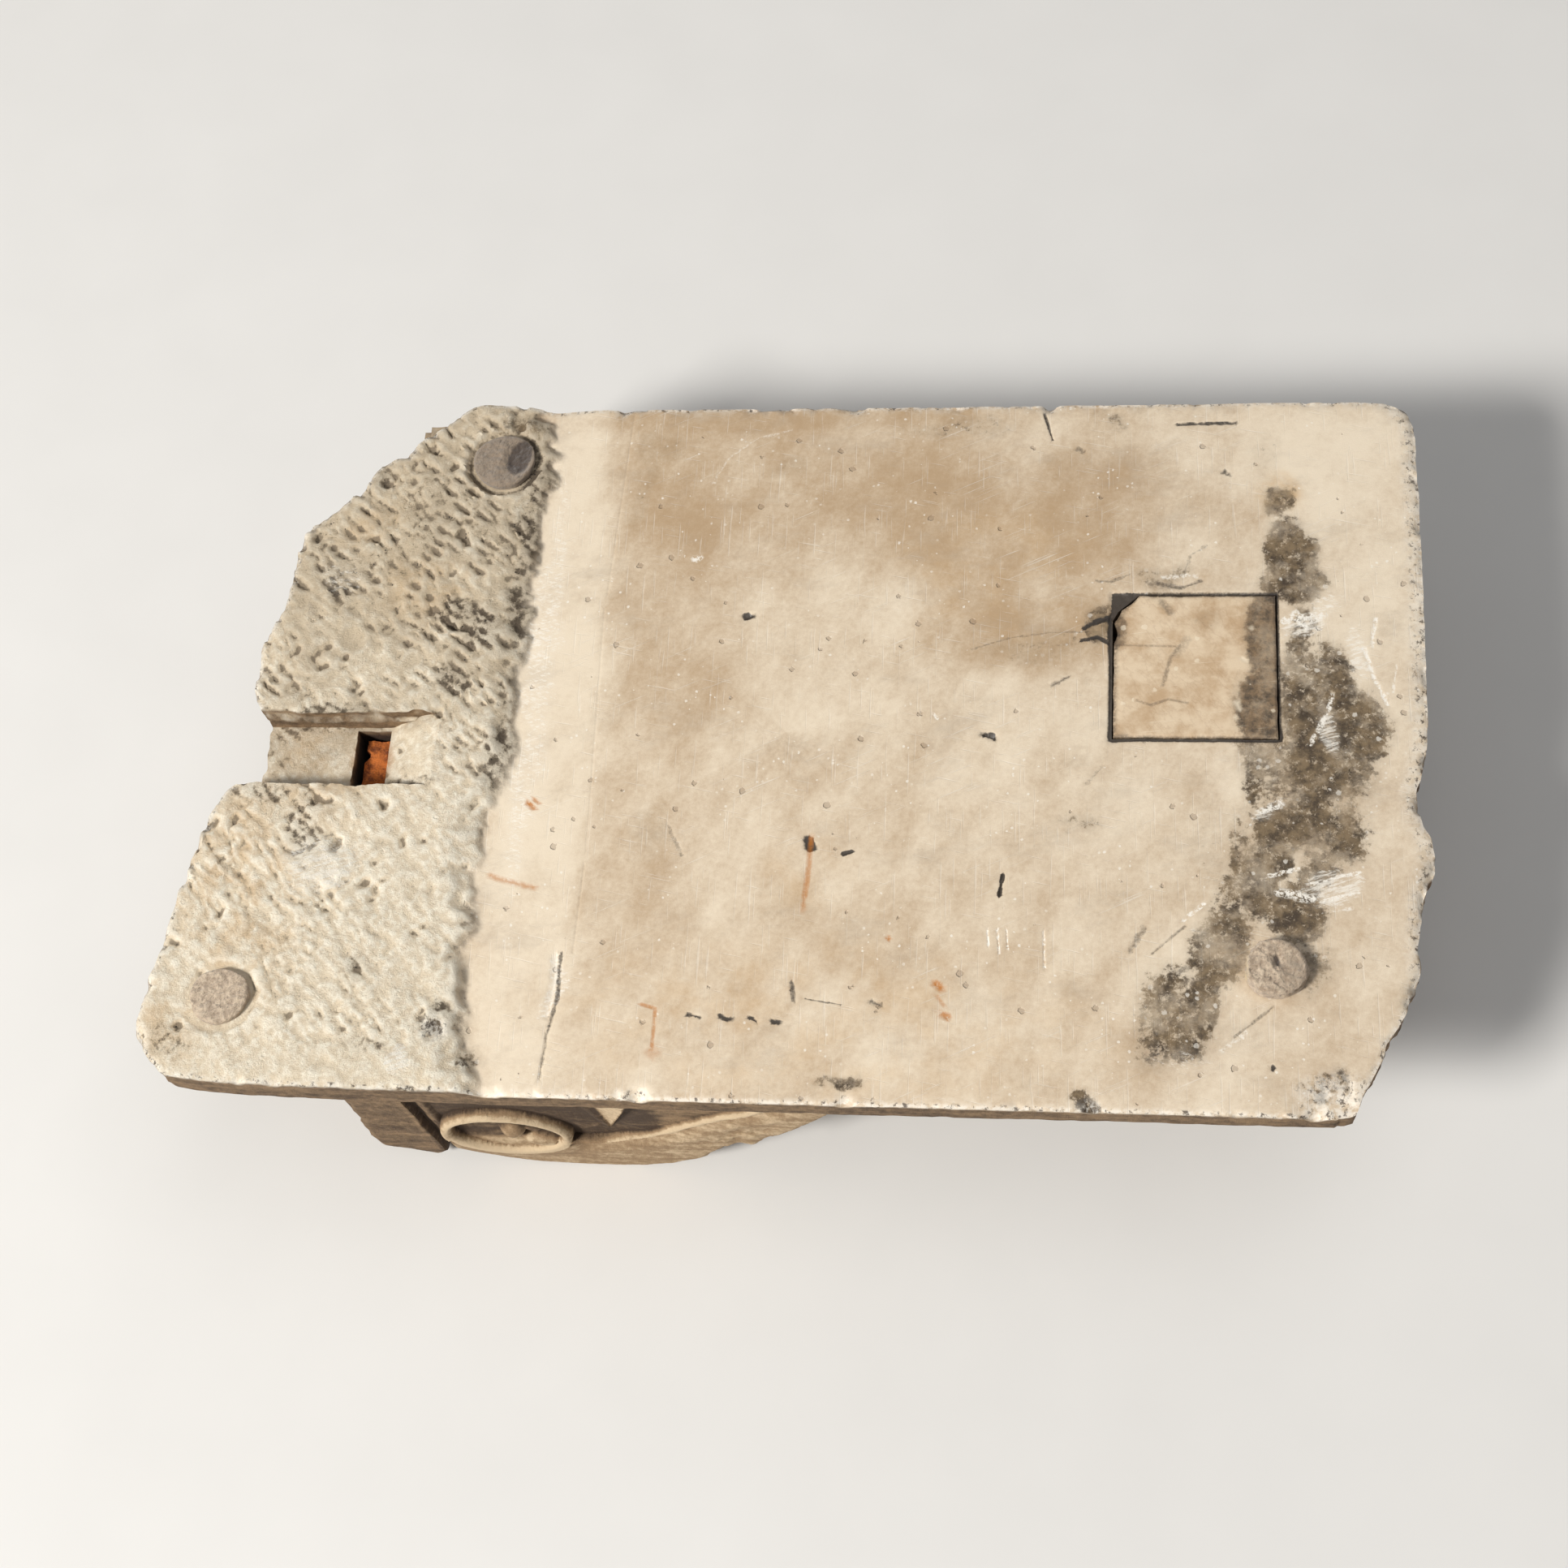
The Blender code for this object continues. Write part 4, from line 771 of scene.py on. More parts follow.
    def build_slab(self) -> bpy.types.Object:
        """Makes the slab: the carved upper face, the rough edges and the flat underside."""
        outline, roughness = self.outline()
        normal = outward(outline)
        inner_rings = [outline - normal * inset for inset in (0.7, 1.5)]
        points = np.concatenate([*inner_rings, self.bed_points(outline)])
        flat, faces = triangulate(outline, points)
        margin = distance_to(flat, outline)
        top = np.column_stack([flat, self.top_height(flat[:, 0], flat[:, 1], margin)])
        count = len(outline)
        rings = []
        upper = top[:count, 2]
        for share, inset in ((0.14, 0.0), (0.36, 0.0), (0.6, 0.0), (0.86, 0.0), (1.0, 1.3)):
            level = upper + (-self.slab_edge - upper) * share
            around = outline[:, 0] + outline[:, 1]
            bulge = rough_noise(around, level * 1.5 + outline[:, 1] * 0.4, 6.0, 23) - 0.35
            ring = outline + normal * (roughness * bulge * 1.1 - inset)[:, None]
            rings.append(np.column_stack([ring, level]))
        bottom_outline = rings[-1][:, :2]
        low = bottom_outline.min(axis=0)
        high = bottom_outline.max(axis=0)
        under = scatter(tuple(low), tuple(high), 9.0, 4)
        keep = inside(under[:, 0], under[:, 1], bottom_outline) & (distance_to(under, bottom_outline) > 3.0)
        under_flat, under_faces = triangulate(bottom_outline, under[keep])
        dressing = 0.2 * rough_noise(under_flat[:, 0], under_flat[:, 1], 24.0, 24)
        dressing[:count] = 0.0
        bottom = np.column_stack([under_flat, dressing - self.slab_edge])
        sides = np.concatenate(rings[:-1])
        vertices = np.concatenate([top, sides, bottom])
        starts = [0, *(len(top) + count * level for level in range(4)), len(top) + len(sides)]
        faces += band_faces(starts, count)
        faces += [[starts[-1] + index for index in face][::-1] for face in under_faces]
        return mesh_object("carved_block", vertices, faces)

    def side_relief(self, x: np.ndarray, z: np.ndarray) -> np.ndarray:
        """Returns how far the bracket's side carving stands out of the cheek's plane."""
        radius = np.hypot(x - self.volute[0], (z - self.volute[1]) * self.volute_squash)
        inner = self.volute_radius - self.ring_width
        fillet_x, fillet_z = zip(*self.fillet)
        line = np.interp(x, fillet_x, fillet_z)
        to_fillet = path_distance(x, z, self.fillet)
        relief = -0.2 + 0.25 * rough_noise(x, z, 11.0, 101)
        sunk = ramp(-64.0, -50.0, x) * (z > line)
        relief += 1.2 * sunk
        relief -= 0.5 * fade(0.5, 6.0, np.abs(radius - self.volute_radius)) * (z > -62)
        below = ramp(-1.0, 1.0, line - z) * ramp(-133.0, -129.0, x) * ramp(inner, inner + 1.5, radius)
        under = below * np.where(x < -80.0, ramp(-3.0, 4.0, line - z), 1.0)
        hollow = fade(1.5, 13.0, to_fillet)
        band = 3.0 - 3.2 * hollow * ramp(-84.0, -74.0, x)
        low = fade(-66.0, -58.0, z)
        band = band + 1.0 * low * fade(0.0, 10.0, radius - self.volute_radius)
        patch = Patch(-14.0, -50.0, 22.0, 9.0, 42.0).mask(x, z)
        band += patch * (0.9 * rough_noise(x, z, 5.0, 103) - 0.6)
        relief = relief + (band - relief) * under
        relief = self.add_dart(x, z, relief)
        width = 0.9 + 1.5 * ramp(-80.0, -25.0, x) + 0.35 * rough_noise(x, z, 9.0, 104)
        crest = fade(0.25, 1.0, to_fillet / width)
        worn = 3.6 + 0.35 * rough_noise(x, z, 6.0, 105)
        relief = np.where(radius > inner + 2.0, np.maximum(relief, relief + (worn - relief) * crest), relief)
        across = (radius - inner - self.ring_width / 2) / (self.ring_width / 2)
        torus = 0.2 + 3.9 * dome(across) + 0.12 * rough_noise(x, z, 7.0, 106)
        torus = np.where(across > 0, torus + (4.0 - torus) * low, torus)
        relief = np.where(np.abs(across) < 1.0, np.maximum(torus, np.where(across > 0, relief, -1.0)), relief)
        relief = np.where(radius < inner, self.volute_field(x, z), relief)
        return self.add_wall_block(x, z, relief)

    def add_dart(self, x: np.ndarray, z: np.ndarray, relief: np.ndarray) -> np.ndarray:
        """Returns the relief with the faceted leaf dart and its wing beside the volute."""
        (left_x, left_z), (right_x, _), (tip_x, tip_z) = self.dart
        down = (left_z - z) / (left_z - tip_z)
        left_edge = left_x + (tip_x - left_x) * down
        right_edge = right_x + (tip_x - right_x) * down
        ridge = self.dart_ridge[0] + (tip_x - self.dart_ridge[0]) * down
        top = 5.6 * np.clip(1.0 - down, 0.0, 1.0) + 0.8
        rising = (x - left_edge) / np.maximum(ridge - left_edge, 0.4)
        falling = (right_edge - x) / np.maximum(right_edge - ridge, 0.4)
        facet = top * np.minimum(rising, falling)
        on_dart = (down < 1.03) & (x > left_edge) & (x < right_edge)
        relief = np.where(on_dart, np.minimum(np.maximum(relief, facet - 1.0), 4.4), relief)
        wing = path_distance(x, z, ((-71.5, -16.0), (-68.0, -34.0), (-64.0, -48.0)))
        relief = relief + 0.6 * fade(0.3, 2.2, wing) * ~on_dart
        fan = path_distance(x, z, ((-68.0, -47.0), (-75.0, -52.0)))
        return relief + 0.7 * fade(0.2, 1.8, fan)

    def volute_bosses(self, x: np.ndarray, z: np.ndarray) -> tuple[np.ndarray, np.ndarray]:
        """Returns each point's distance from the eye and the lobe beside it, as shares of their sizes."""
        east = x - self.volute[0]
        up = z - self.volute[1]
        boss = np.hypot((east - 2.4) / 5.4, (up - 0.5) / 6.4)
        along = (east - 12.6) * 0.96 - (up + 9.0) * 0.28
        over = (up + 9.0) * 0.96 + (east - 12.6) * 0.28
        return boss, np.hypot(along / 8.8, over / 5.2)

    def volute_field(self, x: np.ndarray, z: np.ndarray) -> np.ndarray:
        """Returns the relief inside the volute's ring: the scooped field, the inner turn and the eye."""
        east = x - self.volute[0]
        up = z - self.volute[1]
        field = -0.9 + 2.3 * fade(-20.0, 0.0, up) + 0.4 * ramp(-16.0, 12.0, east)
        field += 0.25 * rough_noise(x, z, 7.0, 107)
        field += 0.5 * fade(0.4, 2.0, path_distance(east, up, self.inner_turn))
        boss, lobe = self.volute_bosses(x, z)
        field = np.maximum(field, 5.2 * dome(boss) - 1.4)
        field = np.maximum(field, 4.6 * dome(lobe) - 0.8)
        small = np.hypot((east - 10.5) / 3.4, (up - 1.0) / 2.6)
        field = np.maximum(field, 1.6 * dome(small) - 0.5)
        hole = np.hypot((east - 7.6) / 1.7, (up + 2.6) / 2.6)
        return field - 6.0 * fade(0.6, 1.1, hole)

    def cut_line(self, z: np.ndarray) -> np.ndarray:
        """Returns where the cut that ends the wall block runs at each height."""
        return self.cut_at - self.cut_slope * (z + self.slab_edge)

    def add_wall_block(self, x: np.ndarray, z: np.ndarray, relief: np.ndarray) -> np.ndarray:
        """Returns the relief with the plain wall block and the slanting cut beside it."""
        cut = self.cut_line(z) + 0.4 * rough_noise(z, x * 0.2, 12.0, 108)
        block = 1.9 + 0.3 * rough_noise(x, z, 10.0, 109) + 0.14 * rough_noise(x, z, 2.6, 110)
        flank = ramp(cut - 1.1, cut - 0.3, x)
        depth = -1.4 * fade(cut + 0.4, cut + 3.0, x)
        beyond = np.where(x > cut, relief + depth, -1.6 + 0.0 * x)
        rim = 1.3 * fade(0.3, 2.0, np.abs(x - cut - 5.6))
        beyond = beyond + rim * (z > -62)
        return np.where(x < cut - 1.1, block, block + (beyond - block) * flank)

    def build_side(self, side: int, pitch: float) -> bpy.types.Object:
        """Makes one side's carving as a slice of the bracket.

        Args:
            side: -1 for the near side, 1 for the far side.
            pitch: Spacing of the carving's points.

        Returns:
            A closed solid, 21 mm deep behind the cheek's plane.
        """
        ring = refine(np.array(self.silhouette, dtype=float), pitch * 1.2, closed=True)
        shift = 0.35 * rough_noise(ring[:, 0], ring[:, 1], 4.0, 111)
        shift *= ramp(-12.0, -20.0, ring[:, 1])
        ring = ring + outward(ring) * shift[:, None]
        inner = self.volute_radius - self.ring_width
        angles = np.arange(0.0, math.tau, pitch / self.volute_radius)
        circles = []
        for radius in (inner - 0.7, inner, inner + 0.6, self.volute_radius - 0.5, self.volute_radius + 0.3):
            circle = np.stack([np.cos(angles), np.sin(angles) / self.volute_squash], axis=1) * radius
            circles.append(circle + np.array(self.volute))
        line = refine(np.array(self.fillet, dtype=float), pitch, closed=False)
        rows = [line + np.array([0.0, offset]) for offset in (-2.2, -1.1, 0.0, 1.1, 2.2)]
        for end_x, end_z in ((self.dart[0][0], -12.0), (self.dart_ridge[0], -12.0), (self.dart[1][0], -12.0)):
            edge = np.array([[end_x, end_z], self.dart[2]], dtype=float)
            rows.append(refine(edge, pitch, closed=False))
        cut = np.arange(-84.0, -12.0, pitch)
        rows += [np.stack([self.cut_line(cut) + offset, cut], axis=1) for offset in (-1.0, -0.3)]
        points = np.concatenate([*circles, *rows, scatter((-164.0, -95.0), (26.0, -7.5), pitch, 5)])
        keep = inside(points[:, 0], points[:, 1], ring) & (distance_to(points, ring) > pitch * 0.8)
        flat, faces = triangulate(ring, points[keep])
        relief = self.side_relief(flat[:, 0], flat[:, 1])
        margin = distance_to(flat, ring)
        lower = ramp(-18.0, -30.0, flat[:, 1])
        relief -= 1.1 * fade(0.0, 2.2, margin) * lower
        count = len(ring)
        front = np.column_stack([flat[:, 0], side * (self.panel + relief), flat[:, 1]])
        vertices = [front]
        for depth in (3.5, 9.0, 21.0):
            wave = 0.3 * rough_noise(ring[:, 0] + ring[:, 1], np.full(count, depth), 5.0, 113)
            moved = ring + outward(ring) * wave[:, None]
            level = np.full(count, side * (self.panel - depth))
            vertices.append(np.column_stack([moved[:, 0], level, moved[:, 1]]))
        starts = [0, *(len(flat) + count * level for level in range(3))]
        faces += band_faces(starts, count)
        faces.append([starts[-1] + index for index in range(count)])
        return mesh_object("side_carving", np.concatenate(vertices), faces)

    def build_wall_block(self) -> bpy.types.Object:
        """Makes the core of the upright block at the wall end, rough on the back and the foot."""
        x = np.linspace(-163.0, -139.5, 7)
        y = np.linspace(-142.6, 142.6, 76)
        points, faces = lattice_box(x, y, np.linspace(0.0, 1.0, 22))
        foot = np.interp(points[:, 0], (-163.0, -139.5), (-78.0, -90.5))
        points[:, 2] = -8.0 + (foot + 8.0) * points[:, 2]
        wave = rough_noise(points[:, 1], points[:, 2], 14.0, 121)
        strokes = self.pecks(points[:, 1], points[:, 2], 50.0, 11.0, 7.0, 122)
        at_back = points[:, 0] < -162.0
        points[at_back, 0] += (0.5 + 0.4 * wave + 0.9 * strokes)[at_back]
        at_foot = points[:, 2] < foot + 0.1
        points[at_foot, 2] += (0.5 * rough_noise(points[:, 0], points[:, 1], 12.0, 123) + 0.3)[at_foot]
        return mesh_object("wall_block", points, faces)

    def build_soffit(self) -> bpy.types.Object:
        """Makes the sunk bed of the soffit between the two side bands."""
        under = np.array([point for point in self.silhouette if point[1] < -12.0 and point[0] > -133.0])
        lifted = np.column_stack([under[:, 0] - 2.6, np.minimum(under[:, 1] + 6.5, -8.5)])
        profile = np.concatenate([[(-150.0, -8.5), (-150.0, -72.0)], lifted, [(17.0, -8.5)]])
        profile = refine(profile, 3.6, closed=True)
        rings = []
        for y in np.linspace(-126.0, 126.0, 36):
            wave = 0.45 * rough_noise(profile[:, 0] + profile[:, 1], np.full(len(profile), y), 16.0, 125)
            moved = profile + outward(profile) * (wave * (profile[:, 1] < -12.0))[:, None]
            rings.append(np.column_stack([moved[:, 0], np.full(len(moved), y), moved[:, 1]]))
        return loft("soffit", rings)

    def build_leaf(self) -> bpy.types.Object:
        """Makes the broad plain leaf under the soffit, with lobes, a midrib and slanting veins."""
        stations = np.array([
            (-150, 0.880, 0.700), (-120, 0.950, 0.735), (-85, 0.965, 0.750), (-45, 0.900, 0.745),
            (5, 0.770, 0.730), (65, 0.640, 0.705), (120, 0.560, 0.670), (165, 0.500, 0.610),
            (192, 0.420, 0.500), (208, 0.290, 0.330), (214, 0.150, 0.160),
        ])
        section = np.array([
            (1.0, 0.0), (0.96, 0.25), (0.93, 0.45), (0.92, 0.64), (0.89, 0.80), (0.81, 0.88),
            (0.70, 0.93), (0.58, 0.95), (0.46, 0.963), (0.36, 0.972), (0.26, 0.965), (0.17, 0.955),
            (0.09, 0.945), (0.045, 0.955),
        ])
        rings = []
        for x in (*np.arange(-150.0, 205.0, 4.4), 208.0, 211.0, 213.5):
            depth = 94.0 * np.interp(x, stations[:, 0], stations[:, 1])
            lobe = 1.0 + 0.045 * math.cos(math.tau * x / 46.0)
            half = self.half_width * np.interp(x, stations[:, 0], stations[:, 2]) * lobe
            across = section[:, 0] * half
            down = 7.0 + (depth - 7.0) * section[:, 1]
            vein = (x * 0.9 + across * 0.55) / 23.0
            down = down - 1.6 * np.exp(-((vein - np.round(vein)) * 23.0 / 2.6) ** 2) * (section[:, 1] > 0.8)
            half_ring = np.column_stack([across, -down])
            centre = np.array([[0.0, -depth]])
            ring = np.concatenate([half_ring, centre, half_ring[::-1] * np.array([-1.0, 1.0])])
            wave = 0.4 * rough_noise(np.full(len(ring), x), ring[:, 0], 18.0, 127)
            ring[:, 1] += wave * (ring[:, 1] < -12.0)
            rings.append(np.column_stack([np.full(len(ring), x), ring[:, 0], ring[:, 1]]))
        return loft("soffit_leaf", rings)

    def build_tail_root(self) -> bpy.types.Object:
        """Makes the broken root of the tail behind the wall block."""
        x = np.linspace(-200.0, -155.0, 13)
        y = np.linspace(-1.0, 1.0, 66)
        points, faces = lattice_box(x, y, np.linspace(0.0, 1.0, 12))
        share = (points[:, 0] + 200.0) / 45.0
        half = self.half_width * (0.62 + 0.16 * share)
        depth = 22.0 + 46.0 * np.clip(share, 0.0, 1.0) ** 0.8
        points[:, 1] = points[:, 1] * half - 12.0 * (1.0 - share)
        wave = rough_noise(points[:, 0] * 0.8, points[:, 1], 26.0, 131) * 0.13
        chip = rough_noise(points[:, 0], points[:, 1] + points[:, 2] * 30.0, 7.0, 132)
        points[:, 2] = -9.0 - (depth * (1.0 + wave) - 9.0) * points[:, 2] + 1.0 * chip * (points[:, 2] > 0.1)
        points[:, 0] += (1.6 * chip - 0.5) * (share < 0.05)
        return mesh_object("tail_root", points, faces)

    def cut_cramp(self, block: bpy.types.Object) -> None:
        """Cuts the cramp's channel with its ramped end, and the dowel hole in its floor."""
        x = np.linspace(-252.0, -134.0, 84)
        y = np.linspace(self.cramp_low, self.cramp_high, 24)
        points, faces = lattice_box(x, y, np.linspace(0.0, 1.0, 14))
        climb = np.clip((points[:, 0] + 157.0) / 22.0, 0.0, 1.2)
        floor = self.cramp_floor + 12.2 * climb**0.85
        lumps = rough_noise(points[:, 0], points[:, 1], 6.0, 141)
        floor += (0.5 + 0.8 * ramp(-157, -150, points[:, 0])) * lumps
        share = points[:, 2]
        points[:, 2] = floor + (16.0 - floor) * share**1.6
        centre = (self.cramp_low + self.cramp_high) / 2
        edge = np.sign(points[:, 1] - centre) * (np.abs(points[:, 1] - centre) > 15.4)
        wave = rough_noise(points[:, 0], points[:, 2] + points[:, 1], 6.0, 142) * 0.6
        broken = ramp(0.1, 0.8, rough_noise(points[:, 0], points[:, 1], 6.0, 143))
        flare = 1.3 * ramp(2.0, 7.0, points[:, 2]) * broken
        points[:, 1] += edge * (wave * ramp(-6.0, -2.0, points[:, 2]) + flare - 1.2 * (share < 0.05))
        combine(block, mesh_object("cramp_cut", points, faces), Joining.CUT)
        x = np.linspace(*self.hole_x, 12)
        y = np.linspace(*self.hole_y, 20)
        points, faces = lattice_box(x, y, np.linspace(self.hole_bottom, -2.0, 22))
        centre_x, centre_y = sum(self.hole_x) / 2, sum(self.hole_y) / 2
        wave = 0.5 * rough_noise(points[:, 0] + points[:, 2], points[:, 1], 5.0, 145) + 0.2
        wave *= ramp(-31.0, -24.0, points[:, 2])
        points[:, 0] += wave * np.sign(points[:, 0] - centre_x) * (points[:, 0] < centre_x - 6.4)
        points[:, 1] += wave * np.sign(points[:, 1] - centre_y) * (np.abs(points[:, 1] - centre_y) > 12.4)
        combine(block, mesh_object("hole_cut", points, faces), Joining.CUT)

    def cut_plug_pocket(self, block: bpy.types.Object) -> None:
        """Cuts the pocket that the plug is let into."""
        ring = np.array(self.plug_outline, dtype=float)
        ring = ring + outward(ring) * 0.05
        rings = [np.column_stack([ring, np.full(len(ring), level)]) for level in (-14.7, 8.0)]
        combine(block, loft("pocket_cut", rings), Joining.CUT)

    def hollow_of_top(self, x: np.ndarray, y: np.ndarray) -> np.ndarray:
        """Returns how far each point of the upper face lies below what is around it."""
        far = np.full(x.shape, 20.0)
        here = self.top_height(x, y, far)
        around = np.zeros_like(x)
        for dx, dy in ((2.4, 0.0), (-2.4, 0.0), (0.0, 2.4), (0.0, -2.4)):
            around += self.top_height(x + dx, y + dy, far) / 4
        return around - here

    def hollow_of_side(self, x: np.ndarray, z: np.ndarray) -> np.ndarray:
        """Returns how far each point of the side carving lies below what is around it."""
        around = np.zeros_like(x)
        for dx, dz in ((2.6, 0.0), (-2.6, 0.0), (0.0, 2.6), (0.0, -2.6)):
            around += self.side_relief(x + dx, z + dz) / 4
        return around - self.side_relief(x, z)

    def colour(self, block: bpy.types.Object) -> None:
        """Paints the masks that the marble's finish reads: stains, zones, wear, and painted shade and painted
        light.
        """
        place, normal = vertex_arrays(block)
        x, y, z = place.T
        on_top = ramp(0.15, 0.6, normal[:, 2]) * ramp(-10.0, -5.0, z)
        outline, _ = self.outline()
        margin = distance_to(place[:, :2], outline)
        tail = self.step_share(x, y) * ramp(-14.0, -8.0, z)
        hollow = np.where(z > -9.0, self.hollow_of_top(x, y), 0.0)
        on_side = (np.abs(y) > 136.0) & (z < -12.5)
        side_patina_and_shade = np.where(on_side, 0.6 * self.hollow_of_side(x, z), 0.0)
        # Painted shade and painted light on the carved sides. The groove beside the wall block, the dart's
        # right facet and the sunk panel are painted darker as shade. The dart's left facet, the volute's
        # ring, the band under the fillet, the eye, the lobe and the field inside the ring are painted lighter
        # as lit faces. The fillet's crest is painted lighter and the wall block a little darker.
        wall_side = fade(-139.5, -137.5, x)
        groove = ramp(-138.6, -137.4, x) * fade(-136.4, -134.6, x)
        (dart_left, dart_top), (dart_right, _), (dart_tip, dart_foot) = self.dart
        down = np.clip((dart_top - z) / (dart_top - dart_foot), 0.0, 1.0)
        ridge = self.dart_ridge[0] + (dart_tip - self.dart_ridge[0]) * down
        left_side = ramp(-0.5, 0.5, np.minimum(x - dart_left - (dart_tip - dart_left) * down, ridge - x))
        right_side = ramp(-0.5, 0.5, np.minimum(x - ridge, dart_right + (dart_tip - dart_right) * down - x))
        left_side *= z > dart_foot
        right_side *= z > dart_foot
        radius = np.hypot(x - self.volute[0], (z - self.volute[1]) * self.volute_squash)
        half_ring = self.ring_width / 2
        on_ring = ramp(-0.6, 0.6, half_ring - np.abs(radius - self.volute_radius + half_ring))
        fillet_x, fillet_z = zip(*self.fillet)
        band = ramp(0.0, 6.0, np.interp(x, fillet_x, fillet_z) - z) * ramp(-134.0, -131.0, x)
        boss, lobe = self.volute_bosses(x, z)
        in_ring = radius < self.volute_radius - self.ring_width
        panel = fade(-2.0, 4.0, np.interp(x, fillet_x, fillet_z) - z)
        crest = fade(0.8, 2.2, path_distance(x, z, self.fillet)) * ramp(-80.0, -40.0, x)
        side_shade = 0.85 + 0.1 * wall_side + 1.2 * groove + 3.2 * right_side - 3.4 * left_side - 3.0 * crest
        side_shade += 1.1 * panel * ramp(-134.0, -130.0, x) * fade(-47.0, -40.0, x)
        side_shade = side_shade - 0.3 * in_ring - 2.7 * np.maximum(on_ring, 0.48 * band * (1.0 - on_ring))
        side_shade -= 1.7 * fade(0.8, 1.05, np.minimum(boss, lobe)) + 0.3 * ramp(-46.0, -42.0, x)
        # The side level is the patina, darker in hollows and lighter on crests, plus the painted shade and
        # painted light above. Off the carved sides, on the slab's edges and underside, it is held at 0.8:
        # darker patina, and painted shade on the near edge strip.
        side_patina_and_shade = np.where(on_side, side_patina_and_shade + side_shade, 0.8)
        warp_x = x + 4.5 * rough_noise(x, y, 13.0, 121)
        warp_y = y + 4.5 * rough_noise(x, y, 13.0, 122)
        dark = strongest(DARK_STAINS, warp_x, warp_y)
        crust = strongest(TAIL_CRUSTS, warp_x, warp_y)
        white = strongest(BRUISES, warp_x, warp_y)
        tan = 0.42 + sum(patch.mask(x, y) for patch in TAN_PATCHES)
        ochre = strongest(OCHRE_PATCHES, x, y)
        line = drawn(BED_MARKS, x, y, 0.55)
        joint = path_distance(x, y, (*self.plug_outline, self.plug_outline[0]))
        left = fade(124.0, 132.0, x)
        low = fade(-1.0, 4.0, y)
        burnt = left * ramp(30.0, 42.0, y) * (1.5 + 1.5 * rough_noise(x * 0.4, y, 5.0, 123))
        soot = fade(0.5, 1.5 + 0.9 * left + 0.7 * low + np.maximum(burnt, 0.0), joint)
        soot *= 0.70 + 0.30 * np.maximum(left, low)
        corner = fade(0.3, 1.3, self.corner_gap(x, y))
        edge_dirt = ramp(226.0, 236.0, x) * fade(1.0, 5.5, margin)
        edge_dirt = edge_dirt * ramp(-0.1, 0.5, rough_noise(x, y, 5.0, 124))
        line[Tint.DARK] = np.maximum(line[Tint.DARK], 0.4 * edge_dirt)
        line[Tint.DARK] = np.maximum(line[Tint.DARK], np.maximum(soot, corner) * (z > -4.0))
        iron_seep = 0.75 * fade(4.0, 11.0, np.hypot(x + 164.0, y + 10.5)) * (z < -4.0) * (z > -34.0)
        rust = np.maximum(line[Tint.RUST] * on_top, iron_seep)
        chipped = np.zeros_like(x)
        for cx, cy, radius, _ in self.chips:
            chipped = np.maximum(chipped, 1.0 - ramp(0.4, 1.2, np.hypot(x - cx, y - cy) / radius))
        rim = fade(0.4, 2.2, margin)
        rim = np.maximum(rim, 0.55 * ramp(224.0, 233.0, x) * fade(3.0, 8.5, margin))
        rim = np.maximum(rim, 0.8 * self.crumble_rim.mask(x, y)) * ramp(-6.0, -2.0, z)
        # Painted shade in the dowel hole: its walls are painted darker from just under the cramp's floor
        # downwards.
        painted_hole_shade = ramp(-6.8, -12.0, z) * (z > -34.0) * (np.abs(x + 164.5) < 7.6) * (np.abs(y + 10.5) < 13.6)
        paint(block, "stains", [dark * on_top, rust, white * on_top])
        paint(block, "lines", [line[Tint.DARK] * on_top, line[Tint.WHITE] * on_top, ochre * on_top])
        paint(block, "zones", [tail, np.clip(0.5 + hollow * 0.42, 0.33, 1), tan])
        # The wear layer holds the worn rim, then the side level with its painted shade and painted light,
        # then the upper face's share.
        paint(block, "wear", [np.maximum(rim, chipped), np.clip(0.5 + side_patina_and_shade * 0.16, 0, 1), on_top])
        rows, columns = zip(*self.step_line)
        from_step = np.interp(y, rows, columns) - x
        foot = ramp(-6.0, 0.0, from_step) * fade(2.0, 9.0, from_step) * (0.5 + 0.5 * ramp(-60.0, 20.0, y))
        crust = np.maximum(crust, 0.7 * foot) * ramp(-14.0, -8.0, z)
        # The depth layer holds the dowel hole's painted shade, the crust at the step and a rise towards the
        # far side.
        paint(block, "depth", [painted_hole_shade, crust, ramp(-60.0, 70.0, y)])

    def build(self) -> bpy.types.Object:
        """Builds the whole block as one closed mesh, in place and painted."""
        block = self.build_slab()
        LOG.info("slab: %d faces", len(block.data.polygons))
        for core in (self.build_wall_block(), self.build_soffit(), self.build_leaf(), self.build_tail_root()):
            combine(block, core, Joining.ADD)
        combine(block, self.build_side(1, 1.7), Joining.ADD)
        combine(block, self.build_side(-1, 0.92), Joining.ADD)
        self.cut_cramp(block)
        self.cut_plug_pocket(block)
        activate(block)
        bpy.ops.object.mode_set(mode="EDIT")
        bpy.ops.mesh.select_all(action="SELECT")
        bpy.ops.mesh.remove_doubles(threshold=0.00004)
        bpy.ops.mesh.quads_convert_to_tris()
        bpy.ops.mesh.normals_make_consistent(inside=False)
        bpy.ops.object.mode_set(mode="OBJECT")
        low, high = (np.array(corner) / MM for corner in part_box("marble_block"))
        move_points(block, np.clip(vertex_arrays(block)[0], low + 0.03, high - 0.03))
        shade(block, 52)
        self.colour(block)
        block.data.materials.clear()
        block.data.materials.append(CreamMarble().material())
        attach(block, "root")
        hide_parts("marble_block")
        LOG.info("carved block: %d faces", len(block.data.polygons))
        return block


